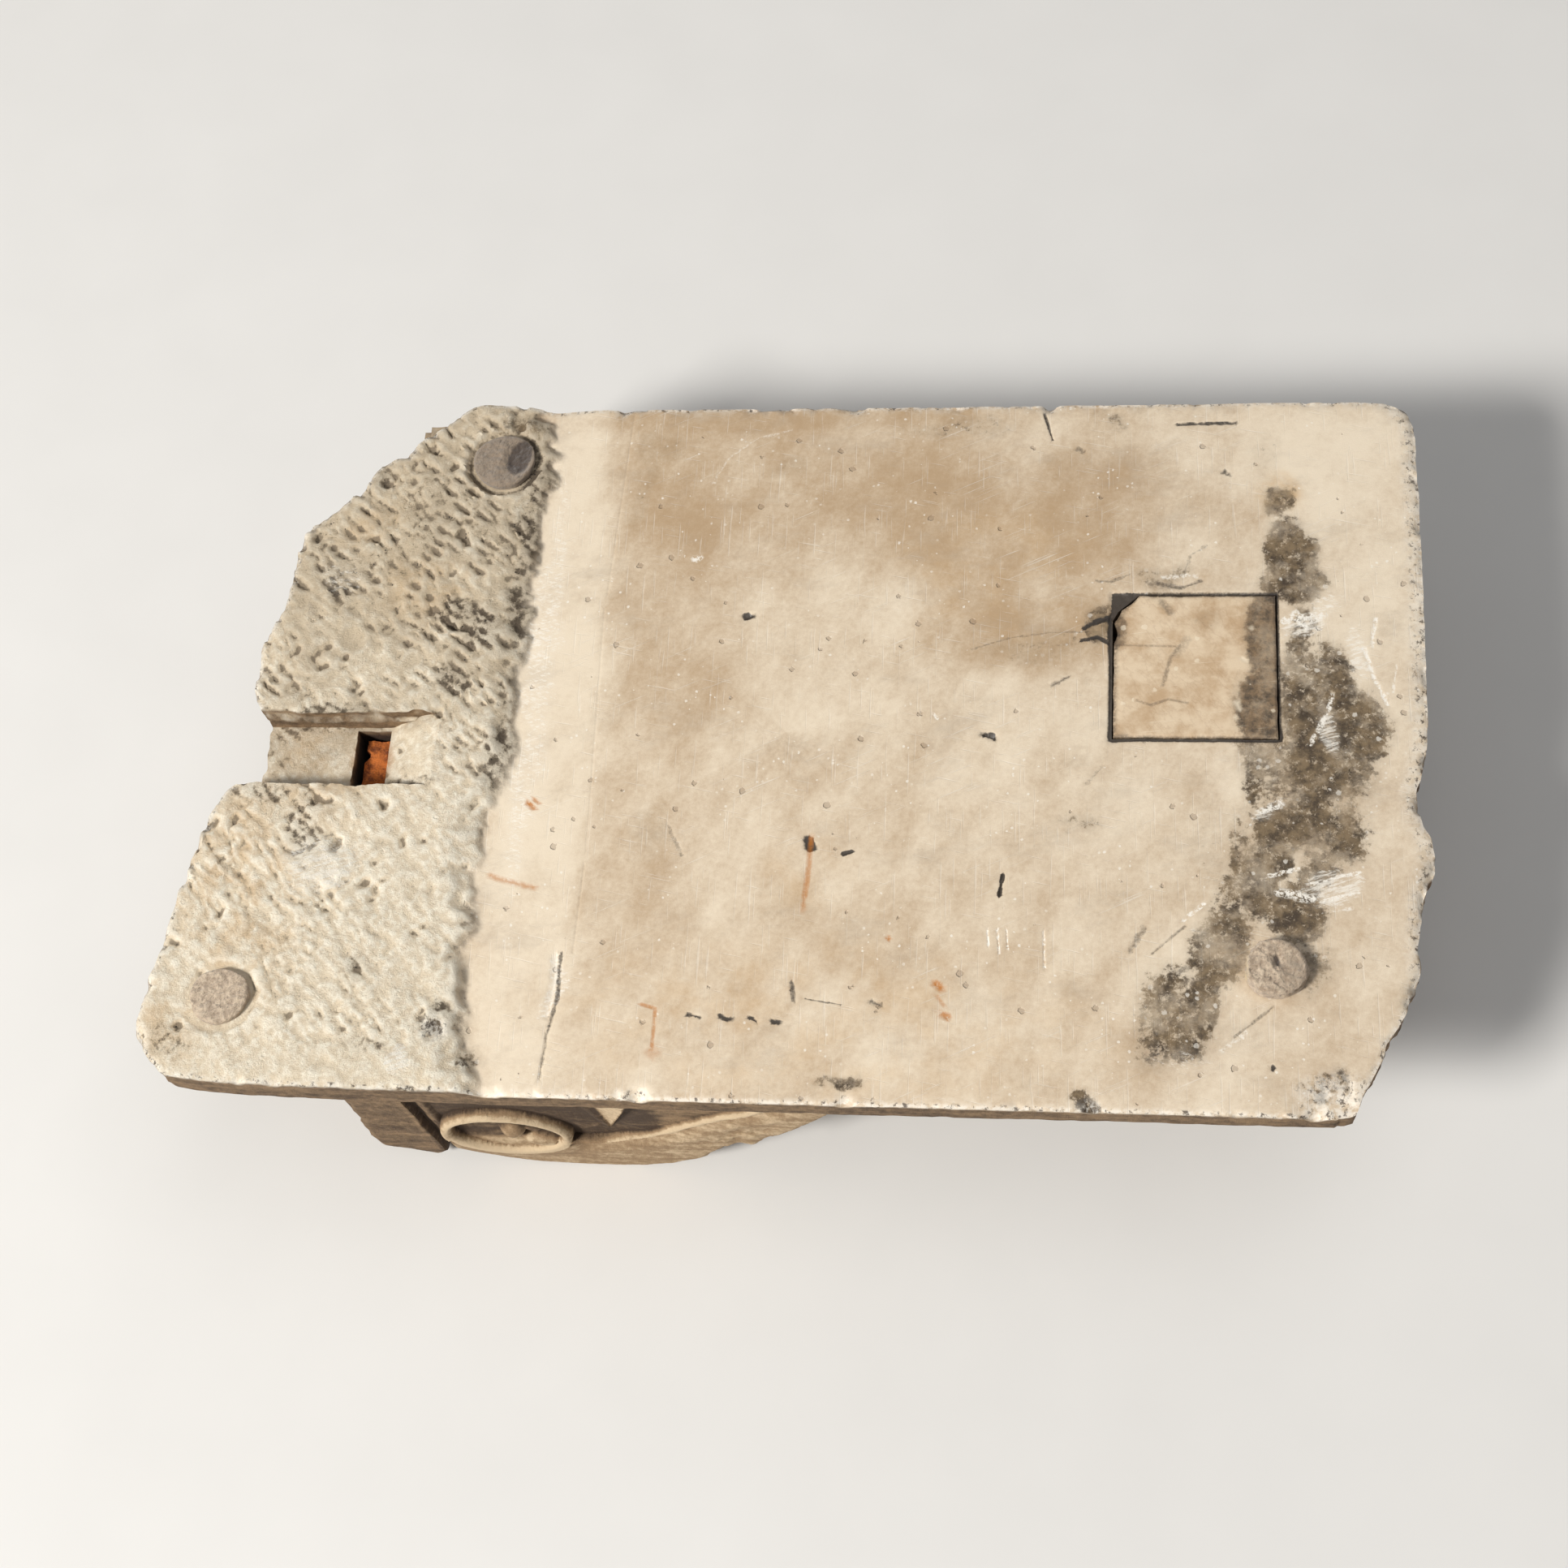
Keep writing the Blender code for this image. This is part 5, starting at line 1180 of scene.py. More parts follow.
class Sheet:
    """Lays out a shader node tree, one call for each node."""

    def __init__(self, tree: bpy.types.NodeTree) -> None:
        """Keeps the tree that nodes are added to."""
        self.tree = tree

    def fill(self, socket: Socket, value: object) -> None:
        """Links another socket to an input, or sets the input to a plain value."""
        if isinstance(value, Socket):
            self.tree.links.new(value, socket)
        else:
            socket.default_value = value

    def add(self, kind: str, inputs: dict | None = None, **settings: object) -> bpy.types.Node:
        """Adds a node.

        Args:
            kind: The node's type without its ShaderNode prefix.
            inputs: A value or an output socket for each named or numbered input.
            settings: Properties of the node.

        Returns:
            The new node.
        """
        node = self.tree.nodes.new(kind if kind.startswith("Node") else "ShaderNode" + kind)
        for name, value in settings.items():
            setattr(node, name, value)
        for key, value in (inputs or {}).items():
            self.fill(node.inputs[key], value)
        return node

    def math(self, operation: str, first: object, second: object = 0.0) -> Socket:
        """Returns the result of one sum on two values."""
        return self.add("Math", {0: first, 1: second}, operation=operation).outputs[0]

    def plus(self, first: object, second: object) -> Socket:
        """Returns one value added to another."""
        return self.math("ADD", first, second)

    def minus(self, first: object, second: object) -> Socket:
        """Returns one value less another."""
        return self.math("SUBTRACT", first, second)

    def times(self, first: object, second: object) -> Socket:
        """Returns one value times another."""
        return self.math("MULTIPLY", first, second)

    def swing(self, noise: object, strength: float) -> Socket:
        """Returns a noise value moved to lie around zero, times a strength."""
        return self.times(self.minus(noise, 0.5), strength)

    def vector(self, operation: str, first: object, inputs: dict) -> Socket:
        """Returns the result of one sum on a vector and the given inputs."""
        return self.add("VectorMath", {0: first, **inputs}, operation=operation).outputs[0]

    def rise(self, value: object, low: object, high: object, top: float = 1.0) -> Socket:
        """Returns a smooth rise from 0 at low to a top value at high."""
        inputs = {"Value": value, "From Min": low, "From Max": high, "To Min": 0.0, "To Max": top}
        return self.add("MapRange", inputs, interpolation_type="SMOOTHSTEP").outputs["Result"]

    def mix(self, share: object, first: object, second: object) -> Socket:
        """Returns one colour laid over another by a share."""
        return self.add("Mix", {0: share, 6: first, 7: second}, data_type="RGBA").outputs[2]

    def noise(self, place: object, scale: float, detail: float = 4.0, rough: float = 0.55) -> Socket:
        """Returns a noise value around one half."""
        inputs = {"Vector": place, "Scale": scale, "Detail": detail, "Roughness": rough}
        return self.add("TexNoise", inputs).outputs[0]

    def masks(self, layer: str) -> list[Socket]:
        """Returns the three masks painted in a colour attribute."""
        attribute = self.add("Attribute", attribute_name=layer, attribute_type="GEOMETRY")
        return list(self.add("SeparateColor", {0: attribute.outputs["Color"]}).outputs)

    def place(self, turn: float = 0.0, scale: tuple[float, float, float] = (1, 1, 1)) -> Socket:
        """Returns the place on the piece in millimetres, turned by degrees about Z and stretched."""
        where = self.add("TexCoord").outputs["Object"]
        scaled = [1000.0 * share for share in scale]
        turned = self.add("Mapping", {"Vector": where, "Rotation": (0.0, 0.0, math.radians(turn))}).outputs[0]
        return self.add("Mapping", {"Vector": turned, "Scale": scaled}).outputs[0]

    def group(self, tree: bpy.types.NodeTree, **inputs: object) -> list[Socket]:
        """Adds a shared group with its own values and returns its outputs."""
        return list(self.add("Group", inputs, node_tree=tree).outputs)


def start_group(name: str, values: tuple[str, ...], outputs: tuple[str, ...]) -> tuple:
    """Returns a new group's tree, its sheet, its input sockets and its output node."""
    tree = bpy.data.node_groups.new(name, "ShaderNodeTree")
    sockets = [("Place", "INPUT", "Vector")]
    sockets += [(label, "INPUT", "Float") for label in values]
    sockets += [(label, "OUTPUT", "Float") for label in outputs]
    for label, side, kind in sockets:
        tree.interface.new_socket(name=label, in_out=side, socket_type="NodeSocket" + kind)
    sheet = Sheet(tree)
    return tree, sheet, sheet.add("NodeGroupInput").outputs, sheet.add("NodeGroupOutput")


@cache
def broken_patch() -> bpy.types.NodeTree:
    """Returns the group that turns a soft mask into a ragged, crumbly patch and a wide faint wash."""
    tree, sheet, given, result = start_group("broken_patch", ("Soft", "Size", "Crisp"), ("Patch", "Wash"))
    scaled = sheet.vector("SCALE", given["Place"], {3: given["Size"]})
    shift = sheet.swing(sheet.noise(scaled, 1.0, 9.0, 0.72), 1.3)
    level = sheet.plus(given["Soft"], shift)
    cut = sheet.rise(level, sheet.minus(0.5, given["Crisp"]), sheet.plus(0.5, given["Crisp"]))
    sheet.fill(result.inputs[0], sheet.times(cut, sheet.rise(given["Soft"], 0.08, 0.3)))
    faint = sheet.plus(given["Soft"], sheet.times(shift, 0.35))
    wash = sheet.times(sheet.rise(faint, 0.10, 0.85), sheet.rise(given["Soft"], 0.0, 0.1))
    sheet.fill(result.inputs[1], wash)
    return tree


@cache
def scratches() -> bpy.types.NodeTree:
    """Returns the group that draws fine scratches along the second axis of a place."""
    tree, sheet, given, result = start_group("scratches", ("Pitch", "Length", "Share"), ("Scratch",))
    across = sheet.math("DIVIDE", 1.0, given["Pitch"])
    along = sheet.math("DIVIDE", 1.0, given["Length"])
    stretch = sheet.add("CombineXYZ", {0: across, 1: along, 2: 0.02}).outputs[0]
    streak = sheet.noise(sheet.vector("MULTIPLY", given["Place"], {1: stretch}), 1.0, 2.0, 0.5)
    level = sheet.minus(0.78, sheet.times(given["Share"], 0.3))
    sheet.fill(result.inputs[0], sheet.rise(streak, level, sheet.plus(level, 0.06)))
    return tree


@cache
def specks() -> bpy.types.NodeTree:
    """Returns the group that scatters round specks of many sizes."""
    tree, sheet, given, result = start_group("specks", ("Pitch", "Share"), ("Speck",))
    size = sheet.math("DIVIDE", 1.0, given["Pitch"])
    place = sheet.vector("SCALE", given["Place"], {3: size})
    wobble = sheet.add("TexNoise", {"Vector": place, "Scale": 3.0, "Detail": 2.0}).outputs["Color"]
    shift = sheet.vector("SUBTRACT", wobble, {1: (0.5, 0.5, 0.5)})
    moved = sheet.vector("ADD", place, {1: sheet.vector("SCALE", shift, {3: 0.35})})
    cells = sheet.add("TexVoronoi", {"Vector": moved, "Scale": 1.0})
    draw = sheet.add("SeparateColor", {0: cells.outputs["Color"]}).outputs[0]
    reach = sheet.times(sheet.rise(draw, sheet.minus(1.0, given["Share"]), 1.0), 0.34)
    cover = sheet.minus(reach, cells.outputs["Distance"])
    sheet.fill(result.inputs[0], sheet.rise(cover, 0.0, 0.09))
    return tree


def new_material(name: str) -> tuple[bpy.types.Material, Sheet]:
    """Returns a new material and its sheet."""
    material = bpy.data.materials.new(name)
    material.use_nodes = True
    return material, Sheet(material.node_tree)


def coat(sheet: Sheet, colour: Socket, roughness: object, height: Socket | None = None,
         strength: float = 0.0, depth: float = 0.0) -> None:
    """Gives a finish its colour, its roughness and its fine relief.

    Args:
        sheet: The sheet of the finish.
        colour: The colour over the piece.
        roughness: A value or a socket.
        height: The relief, or none.
        strength: How much of the relief shows.
        depth: Height of the relief in metres.
    """
    shader = sheet.tree.nodes["Principled BSDF"]
    sheet.fill(shader.inputs["Base Color"], colour)
    sheet.fill(shader.inputs["Roughness"], roughness)
    if height:
        bump = sheet.add("Bump", {"Height": height, "Strength": strength, "Distance": depth})
        sheet.fill(shader.inputs["Normal"], bump.outputs[0])


@dataclass(frozen=True)
class CreamMarble:
    """Weathered cream marble: a smooth scratched bed, a rough tail, and carved sides with patina and painted
    shade and light.
    """

    cream: tuple = tone(238, 222, 197)
    tan: tuple = tone(186, 158, 124)
    grey: tuple = tone(176, 160, 140)
    ochre: tuple = tone(208, 166, 108)
    raised: tuple = tone(254, 244, 223)
    dust: tuple = tone(232, 215, 187)
    soiled: tuple = tone(190, 170, 140)
    crust: tuple = tone(120, 106, 88)
    torn: tuple = tone(84, 72, 58)
    damp_dark: tuple = tone(70, 57, 42)
    damp_pale: tuple = tone(132, 112, 84)
    lodged_dirt: tuple = tone(66, 52, 40)
    pore: tuple = tone(126, 100, 76)
    painted_hole_shade: tuple = tone(48, 32, 24)
    soot: tuple = tone(46, 40, 36)
    rust: tuple = tone(188, 112, 14)
    salt: tuple = tone(252, 246, 234)
    patina: tuple = tone(166, 137, 103)
    patina_dark_and_shade: tuple = tone(76, 58, 42)
    patina_worn_and_lit: tuple = tone(232, 208, 172)
    bed_roughness: float = 0.46

    def bed(self, sheet: Sheet, place: object, tan: object, ochre: object) -> Socket:
        """Returns the colour of the smooth bed before its stains."""
        share = tan
        for noise, strength in (
            (sheet.noise(place, 0.028, 7.0, 0.68), 1.7),
            (sheet.noise(sheet.place(24.0, (1.0, 0.35, 1.0)), 0.07, 6.0, 0.66), 1.2),
            (sheet.noise(place, 0.42, 6.0, 0.74), 0.95),
        ):
            share = sheet.plus(share, sheet.swing(noise, strength))
        colour = sheet.mix(sheet.rise(share, -0.2, 1.35), self.cream, self.tan)
        warm = sheet.times(ochre, sheet.rise(sheet.noise(place, 0.06, 5.0, 0.65), 0.38, 0.7, 0.6))
        colour = sheet.mix(warm, colour, self.ochre)
        clouds = sheet.noise(sheet.place(-8.0, (0.5, 1.0, 1.0)), 0.045, 7.0, 0.7)
        return sheet.mix(sheet.rise(clouds, 0.50, 0.72, 0.34), colour, self.grey)

    def tail(self, sheet: Sheet, place: object, hollow: object, ochre: object) -> Socket:
        """Returns the colour of the rough tail: pale crests, grimy hollows and ochre tints."""
        crust, upper = sheet.masks("depth")[1:]
        lumps = sheet.noise(place, 0.055, 6.0, 0.66)
        level = sheet.plus(hollow, sheet.swing(sheet.noise(place, 0.42, 7.0, 0.72), 0.9))
        level = sheet.plus(level, sheet.times(upper, 0.06))
        colour = sheet.mix(sheet.rise(level, 0.30, 0.62), self.raised, self.dust)
        soiled = sheet.plus(sheet.times(upper, 0.45), sheet.times(lumps, 1.2))
        colour = sheet.mix(sheet.rise(soiled, 0.62, 1.10, 0.62), colour, self.soiled)
        tint = sheet.rise(sheet.noise(place, 0.11, 5.0, 0.66), 0.38, 0.60, 0.7)
        colour = sheet.mix(sheet.times(ochre, tint), colour, self.ochre)
        grime = sheet.plus(sheet.plus(level, sheet.swing(lumps, 0.5)), sheet.times(crust, 0.22))
        colour = sheet.mix(sheet.rise(grime, 0.66, 0.92, 0.8), colour, self.crust)
        soft = sheet.times(crust, 0.72)
        patch, wash = sheet.group(broken_patch(), Place=place, Soft=soft, Size=0.5, Crisp=0.12)
        colour = sheet.mix(sheet.times(wash, 0.22), colour, self.crust)
        colour = sheet.mix(sheet.times(patch, sheet.rise(level, 0.42, 0.66, 0.8)), colour, self.torn)
        pepper = sheet.group(specks(), Place=place, Pitch=1.3, Share=0.55)[0]
        zone = sheet.plus(crust, sheet.times(upper, 0.22))
        zone = sheet.plus(zone, sheet.times(sheet.minus(level, 0.55), 1.6))
        zone = sheet.times(sheet.rise(zone, 0.35, 1.0), sheet.rise(level, 0.44, 0.62, 0.95))
        return sheet.mix(sheet.times(pepper, zone), colour, self.soot)

    def side(self, sheet: Sheet, place: object, hollow: object) -> Socket:
        """Returns the colour of the carved sides: brown patina, dark hollows, worn crests, and painted shade
        and painted highlights.
        """
        level = sheet.plus(hollow, sheet.swing(sheet.noise(place, 0.35, 7.0, 0.7), 0.55))
        streaks = sheet.noise(sheet.place(0.0, (0.22, 1.0, 1.0)), 0.2, 6.0, 0.66)
        level = sheet.plus(level, sheet.swing(streaks, 0.6))
        colour = sheet.mix(sheet.rise(level, 0.40, 0.86), self.patina, self.patina_dark_and_shade)
        return sheet.mix(sheet.rise(sheet.minus(1.0, level), 0.52, 0.80, 0.8), colour, self.patina_worn_and_lit)

    def scored(self, sheet: Sheet, place: object) -> Socket:
        """Returns the mask of the fine scratches and rasp lines in the bed."""
        runs = ((-1.0, 0.9, 26.0, 0.50), (64.0, 0.8, 34.0, 0.45), (102.0, 0.7, 20.0, 0.40))
        level, steep, leaning = (
            sheet.group(scratches(), Place=sheet.place(turn), Pitch=pitch, Length=length, Share=share)[0]
            for turn, pitch, length, share in runs
        )
        zone = sheet.rise(sheet.noise(place, 0.02, 3.0, 0.5), 0.42, 0.62)
        crossed = sheet.math("MAXIMUM", sheet.times(steep, zone), sheet.times(leaning, 0.7))
        return sheet.math("MAXIMUM", crossed, sheet.times(level, 0.6))

    def stained(self, sheet: Sheet, place: object, colour: object) -> Socket:
        """Returns the upper face's colour under its stains, bruises, rust and soot."""
        damp, rust, white = sheet.masks("stains")
        dark_line, white_line, _ = sheet.masks("lines")
        patch, wash = sheet.group(broken_patch(), Place=place, Soft=damp, Size=0.30, Crisp=0.08)
        mottle = sheet.rise(sheet.noise(place, 0.14, 7.0, 0.72), 0.36, 0.64)
        damp_colour = sheet.mix(mottle, self.damp_dark, self.damp_pale)
        depth = sheet.rise(sheet.noise(sheet.place(40.0), 0.06, 7.0, 0.70), 0.34, 0.60, 0.52)
        cover = sheet.plus(sheet.times(patch, sheet.plus(0.16, depth)), sheet.times(wash, 0.44))
        bare = sheet.rise(sheet.noise(sheet.place(-25.0), 0.30, 9.0, 0.78), 0.54, 0.60, 0.55)
        colour = sheet.mix(sheet.times(cover, sheet.minus(1.0, bare)), colour, damp_colour)
        flecks = sheet.group(specks(), Place=sheet.place(12.0), Pitch=3.4, Share=0.3)[0]
        colour = sheet.mix(sheet.times(flecks, sheet.times(wash, 0.5)), colour, self.salt)
        stretched = sheet.place(20.0, (0.45, 1.3, 1.0))
        bruise, haze = sheet.group(broken_patch(), Place=stretched, Soft=white, Size=0.62, Crisp=0.10)
        smut = sheet.noise(place, 0.8, 7.0, 0.76)
        scuffed = sheet.rise(sheet.noise(sheet.place(20.0), 0.6, 7.0, 0.74), 0.44, 0.54)
        streaks = sheet.noise(sheet.place(-18.0, (0.25, 1.6, 1.0)), 0.5, 7.0, 0.74)
        streaks = sheet.rise(streaks, 0.44, 0.56, 0.6)
        pale = sheet.plus(sheet.times(bruise, streaks), sheet.times(haze, 0.10))
        colour = sheet.mix(pale, colour, self.salt)
        thin = sheet.times(sheet.rise(white_line, 0.25, 0.75, 0.9), scuffed)
        colour = sheet.mix(thin, colour, self.salt)
        ink = sheet.minus(sheet.times(dark_line, 1.35), sheet.times(smut, 0.85))
        colour = sheet.mix(sheet.rise(ink, -0.05, 0.55, 0.94), colour, self.soot)
        return sheet.mix(sheet.times(rust, sheet.rise(smut, 0.28, 0.52, 0.9)), colour, self.rust)

    def worn(self, sheet: Sheet, place: object, colour: object) -> Socket:
        """Returns the upper face's colour with its pale worn arrises and the dirt lodged in them."""
        rim = sheet.masks("wear")[0]
        pale = sheet.rise(sheet.noise(place, 0.32, 6.0, 0.7), 0.40, 0.56, 0.85)
        colour = sheet.mix(sheet.times(sheet.times(rim, 0.7), pale), colour, self.salt)
        dirt = sheet.rise(sheet.noise(sheet.place(50.0), 0.36, 7.0, 0.74), 0.53, 0.62, 0.85)
        return sheet.mix(sheet.times(sheet.rise(rim, 0.15, 0.6), dirt), colour, self.lodged_dirt)

    def material(self) -> bpy.types.Material:
        """Builds the marble's nodes."""
        material, sheet = new_material("cream_marble_weathered")
        place = sheet.place()
        ochre = sheet.masks("lines")[2]
        tail, hollow, tan = sheet.masks("zones")
        # The wear layer's second channel is the side level: patina in hollows and on crests, with painted
        # shade and painted light.
        _, relief, on_top = sheet.masks("wear")
        scored = self.scored(sheet, place)
        bed = self.bed(sheet, place, tan, ochre)
        bed = sheet.mix(sheet.times(scored, 0.34), bed, self.salt)
        flecks = sheet.group(specks(), Place=place, Pitch=1.9, Share=0.26)[0]
        fleck_zone = sheet.rise(sheet.noise(place, 0.03, 4.0, 0.6), 0.44, 0.60, 0.6)
        bed = sheet.mix(sheet.times(flecks, fleck_zone), bed, self.salt)
        pores = sheet.group(specks(), Place=sheet.place(31.0), Pitch=4.4, Share=0.08)[0]
        bed = sheet.mix(sheet.times(pores, 0.34), bed, self.pore)
        upper = sheet.mix(tail, bed, self.tail(sheet, place, hollow, ochre))
        upper = self.worn(sheet, place, self.stained(sheet, place, upper))
        colour = sheet.mix(on_top, self.side(sheet, place, relief), upper)
        # The dowel hole's walls take the dark painted shade.
        colour = sheet.mix(sheet.times(sheet.masks("depth")[0], 0.9), colour, self.painted_hole_shade)
        coarse = sheet.math("MAXIMUM", tail, sheet.minus(1.0, on_top))
        roughness = sheet.plus(self.bed_roughness, sheet.times(coarse, 0.4))
        roughness = sheet.plus(roughness, sheet.times(scored, 0.15))
        crumbs = sheet.times(sheet.noise(place, 0.8, 8.0, 0.76), sheet.plus(0.08, coarse))
        height = sheet.minus(sheet.minus(crumbs, sheet.times(scored, 0.08)), sheet.times(pores, 0.4))
        coat(sheet, colour, roughness, height, 0.7, 0.0014)
        return material


@dataclass(frozen=True)
class PlugMarble:
    """The plug's marble: a warmer, veined piece that is stained along its front side."""

    cream: tuple = tone(228, 206, 175)
    tan: tuple = tone(196, 166, 130)
    vein: tuple = tone(150, 112, 76)
    stain: tuple = tone(84, 72, 58)
    stain_pale: tuple = tone(136, 112, 84)
    scratch: tuple = tone(246, 232, 206)
    bruise: tuple = tone(244, 230, 204)
    soot: tuple = tone(62, 50, 42)
    roughness: float = 0.44

    def material(self) -> bpy.types.Material:
        """Builds the plug's nodes."""
        material, sheet = new_material("plug_marble_veined")
        place = sheet.place()
        damp, dark, white = sheet.masks("stains")
        colour = sheet.mix(sheet.rise(sheet.noise(place, 0.09, 6.0, 0.62), 0.36, 0.70), self.cream, self.tan)
        veil = sheet.noise(sheet.place(-38.0, (1.0, 0.4, 1.0)), 0.14, 7.0, 0.62)
        ridge = sheet.math("ABSOLUTE", sheet.minus(veil, 0.5))
        colour = sheet.mix(sheet.rise(ridge, 0.03, 0.0, 0.16), colour, self.vein)
        patch, wash = sheet.group(broken_patch(), Place=place, Soft=damp, Size=0.20, Crisp=0.12)
        mottle = sheet.rise(sheet.noise(place, 0.3, 6.0, 0.7), 0.35, 0.65)
        damp_colour = sheet.mix(mottle, self.stain, self.stain_pale)
        depth = sheet.rise(sheet.noise(sheet.place(40.0), 0.09, 7.0, 0.70), 0.36, 0.62, 0.42)
        cover = sheet.plus(sheet.times(patch, sheet.plus(0.22, depth)), sheet.times(wash, 0.42))
        colour = sheet.mix(cover, colour, damp_colour)
        scored = sheet.group(scratches(), Place=sheet.place(84.0), Pitch=0.8, Length=22.0, Share=0.35)[0]
        colour = sheet.mix(sheet.times(scored, 0.3), colour, self.scratch)
        flecks = sheet.group(specks(), Place=place, Pitch=4.0, Share=0.16)[0]
        colour = sheet.mix(sheet.times(flecks, 0.5), colour, self.scratch)
        colour = sheet.mix(sheet.times(white, 0.7), colour, self.bruise)
        ink = sheet.times(dark, sheet.rise(sheet.noise(place, 1.0, 5.0, 0.7), 0.25, 0.55, 0.9))
        colour = sheet.mix(ink, colour, self.soot)
        height = sheet.minus(sheet.noise(place, 0.9, 6.0, 0.7), scored)
        coat(sheet, colour, self.roughness, height, 0.3, 0.0002)
        return material


@dataclass(frozen=True)
class RustedIron:
    """Flaking rust on old iron."""

    bright: tuple = tone(214, 120, 52)
    deep: tuple = tone(132, 68, 34)
    flake: tuple = tone(222, 142, 74)
    black: tuple = tone(40, 26, 20)
    roughness: float = 0.92

    def material(self) -> bpy.types.Material:
        """Builds the rust's nodes."""
        material, sheet = new_material("rusted_iron_flaking")
        place = sheet.place()
        lumps = sheet.noise(place, 0.28, 7.0, 0.7)
        grain = sheet.noise(place, 1.4, 6.0, 0.7)
        colour = sheet.mix(sheet.rise(lumps, 0.34, 0.62), self.deep, self.bright)
        colour = sheet.mix(sheet.rise(grain, 0.56, 0.70, 0.7), colour, self.flake)
        colour = sheet.mix(sheet.rise(grain, 0.44, 0.30, 0.85), colour, self.black)
        coat(sheet, colour, self.roughness, sheet.plus(sheet.times(grain, 0.6), lumps), 0.9, 0.0015)
        return material


@dataclass(frozen=True)
class GreyFelt:
    """Matted grey felt, a little pink and soiled, with painted shade in its crease, its dent and low on its
    sides.
    """

    name: str
    pale: tuple = tone(228, 207, 180)
    grey: tuple = tone(176, 154, 131)
    fibre: tuple = tone(226, 212, 198)
    soil_and_shade: tuple = tone(66, 54, 48)
    glue: tuple = tone(222, 196, 138)
    sheen: float = 0.35

    def material(self) -> bpy.types.Material:
        """Builds the felt's nodes."""
        material, sheet = new_material(self.name)
        place = sheet.place()
        # The first stains channel is the foot's soil with painted shade: darker in the crease and the dent
        # and towards the base.
        soiled, glued, _ = sheet.masks("stains")
        tufts = sheet.noise(place, 0.45, 7.0, 0.72)
        fibre = sheet.noise(sheet.place(35.0, (1.0, 0.3, 1.0)), 2.2, 4.0, 0.6)
        colour = sheet.mix(sheet.rise(tufts, 0.34, 0.66), self.grey, self.pale)
        colour = sheet.mix(sheet.rise(fibre, 0.58, 0.76, 0.5), colour, self.fibre)
        colour = sheet.mix(sheet.rise(fibre, 0.44, 0.28, 0.6), colour, self.soil_and_shade)
        edge = sheet.plus(soiled, sheet.swing(tufts, 0.8))
        colour = sheet.mix(sheet.rise(edge, 0.30, 0.85, 0.92), colour, self.soil_and_shade)
        colour = sheet.mix(sheet.times(glued, sheet.rise(tufts, 0.35, 0.55)), colour, self.glue)
        material.node_tree.nodes["Principled BSDF"].inputs["Sheen Weight"].default_value = self.sheen
        coat(sheet, colour, 1.0, sheet.plus(sheet.times(fibre, 0.5), tufts), 1.0, 0.0010)
        return material


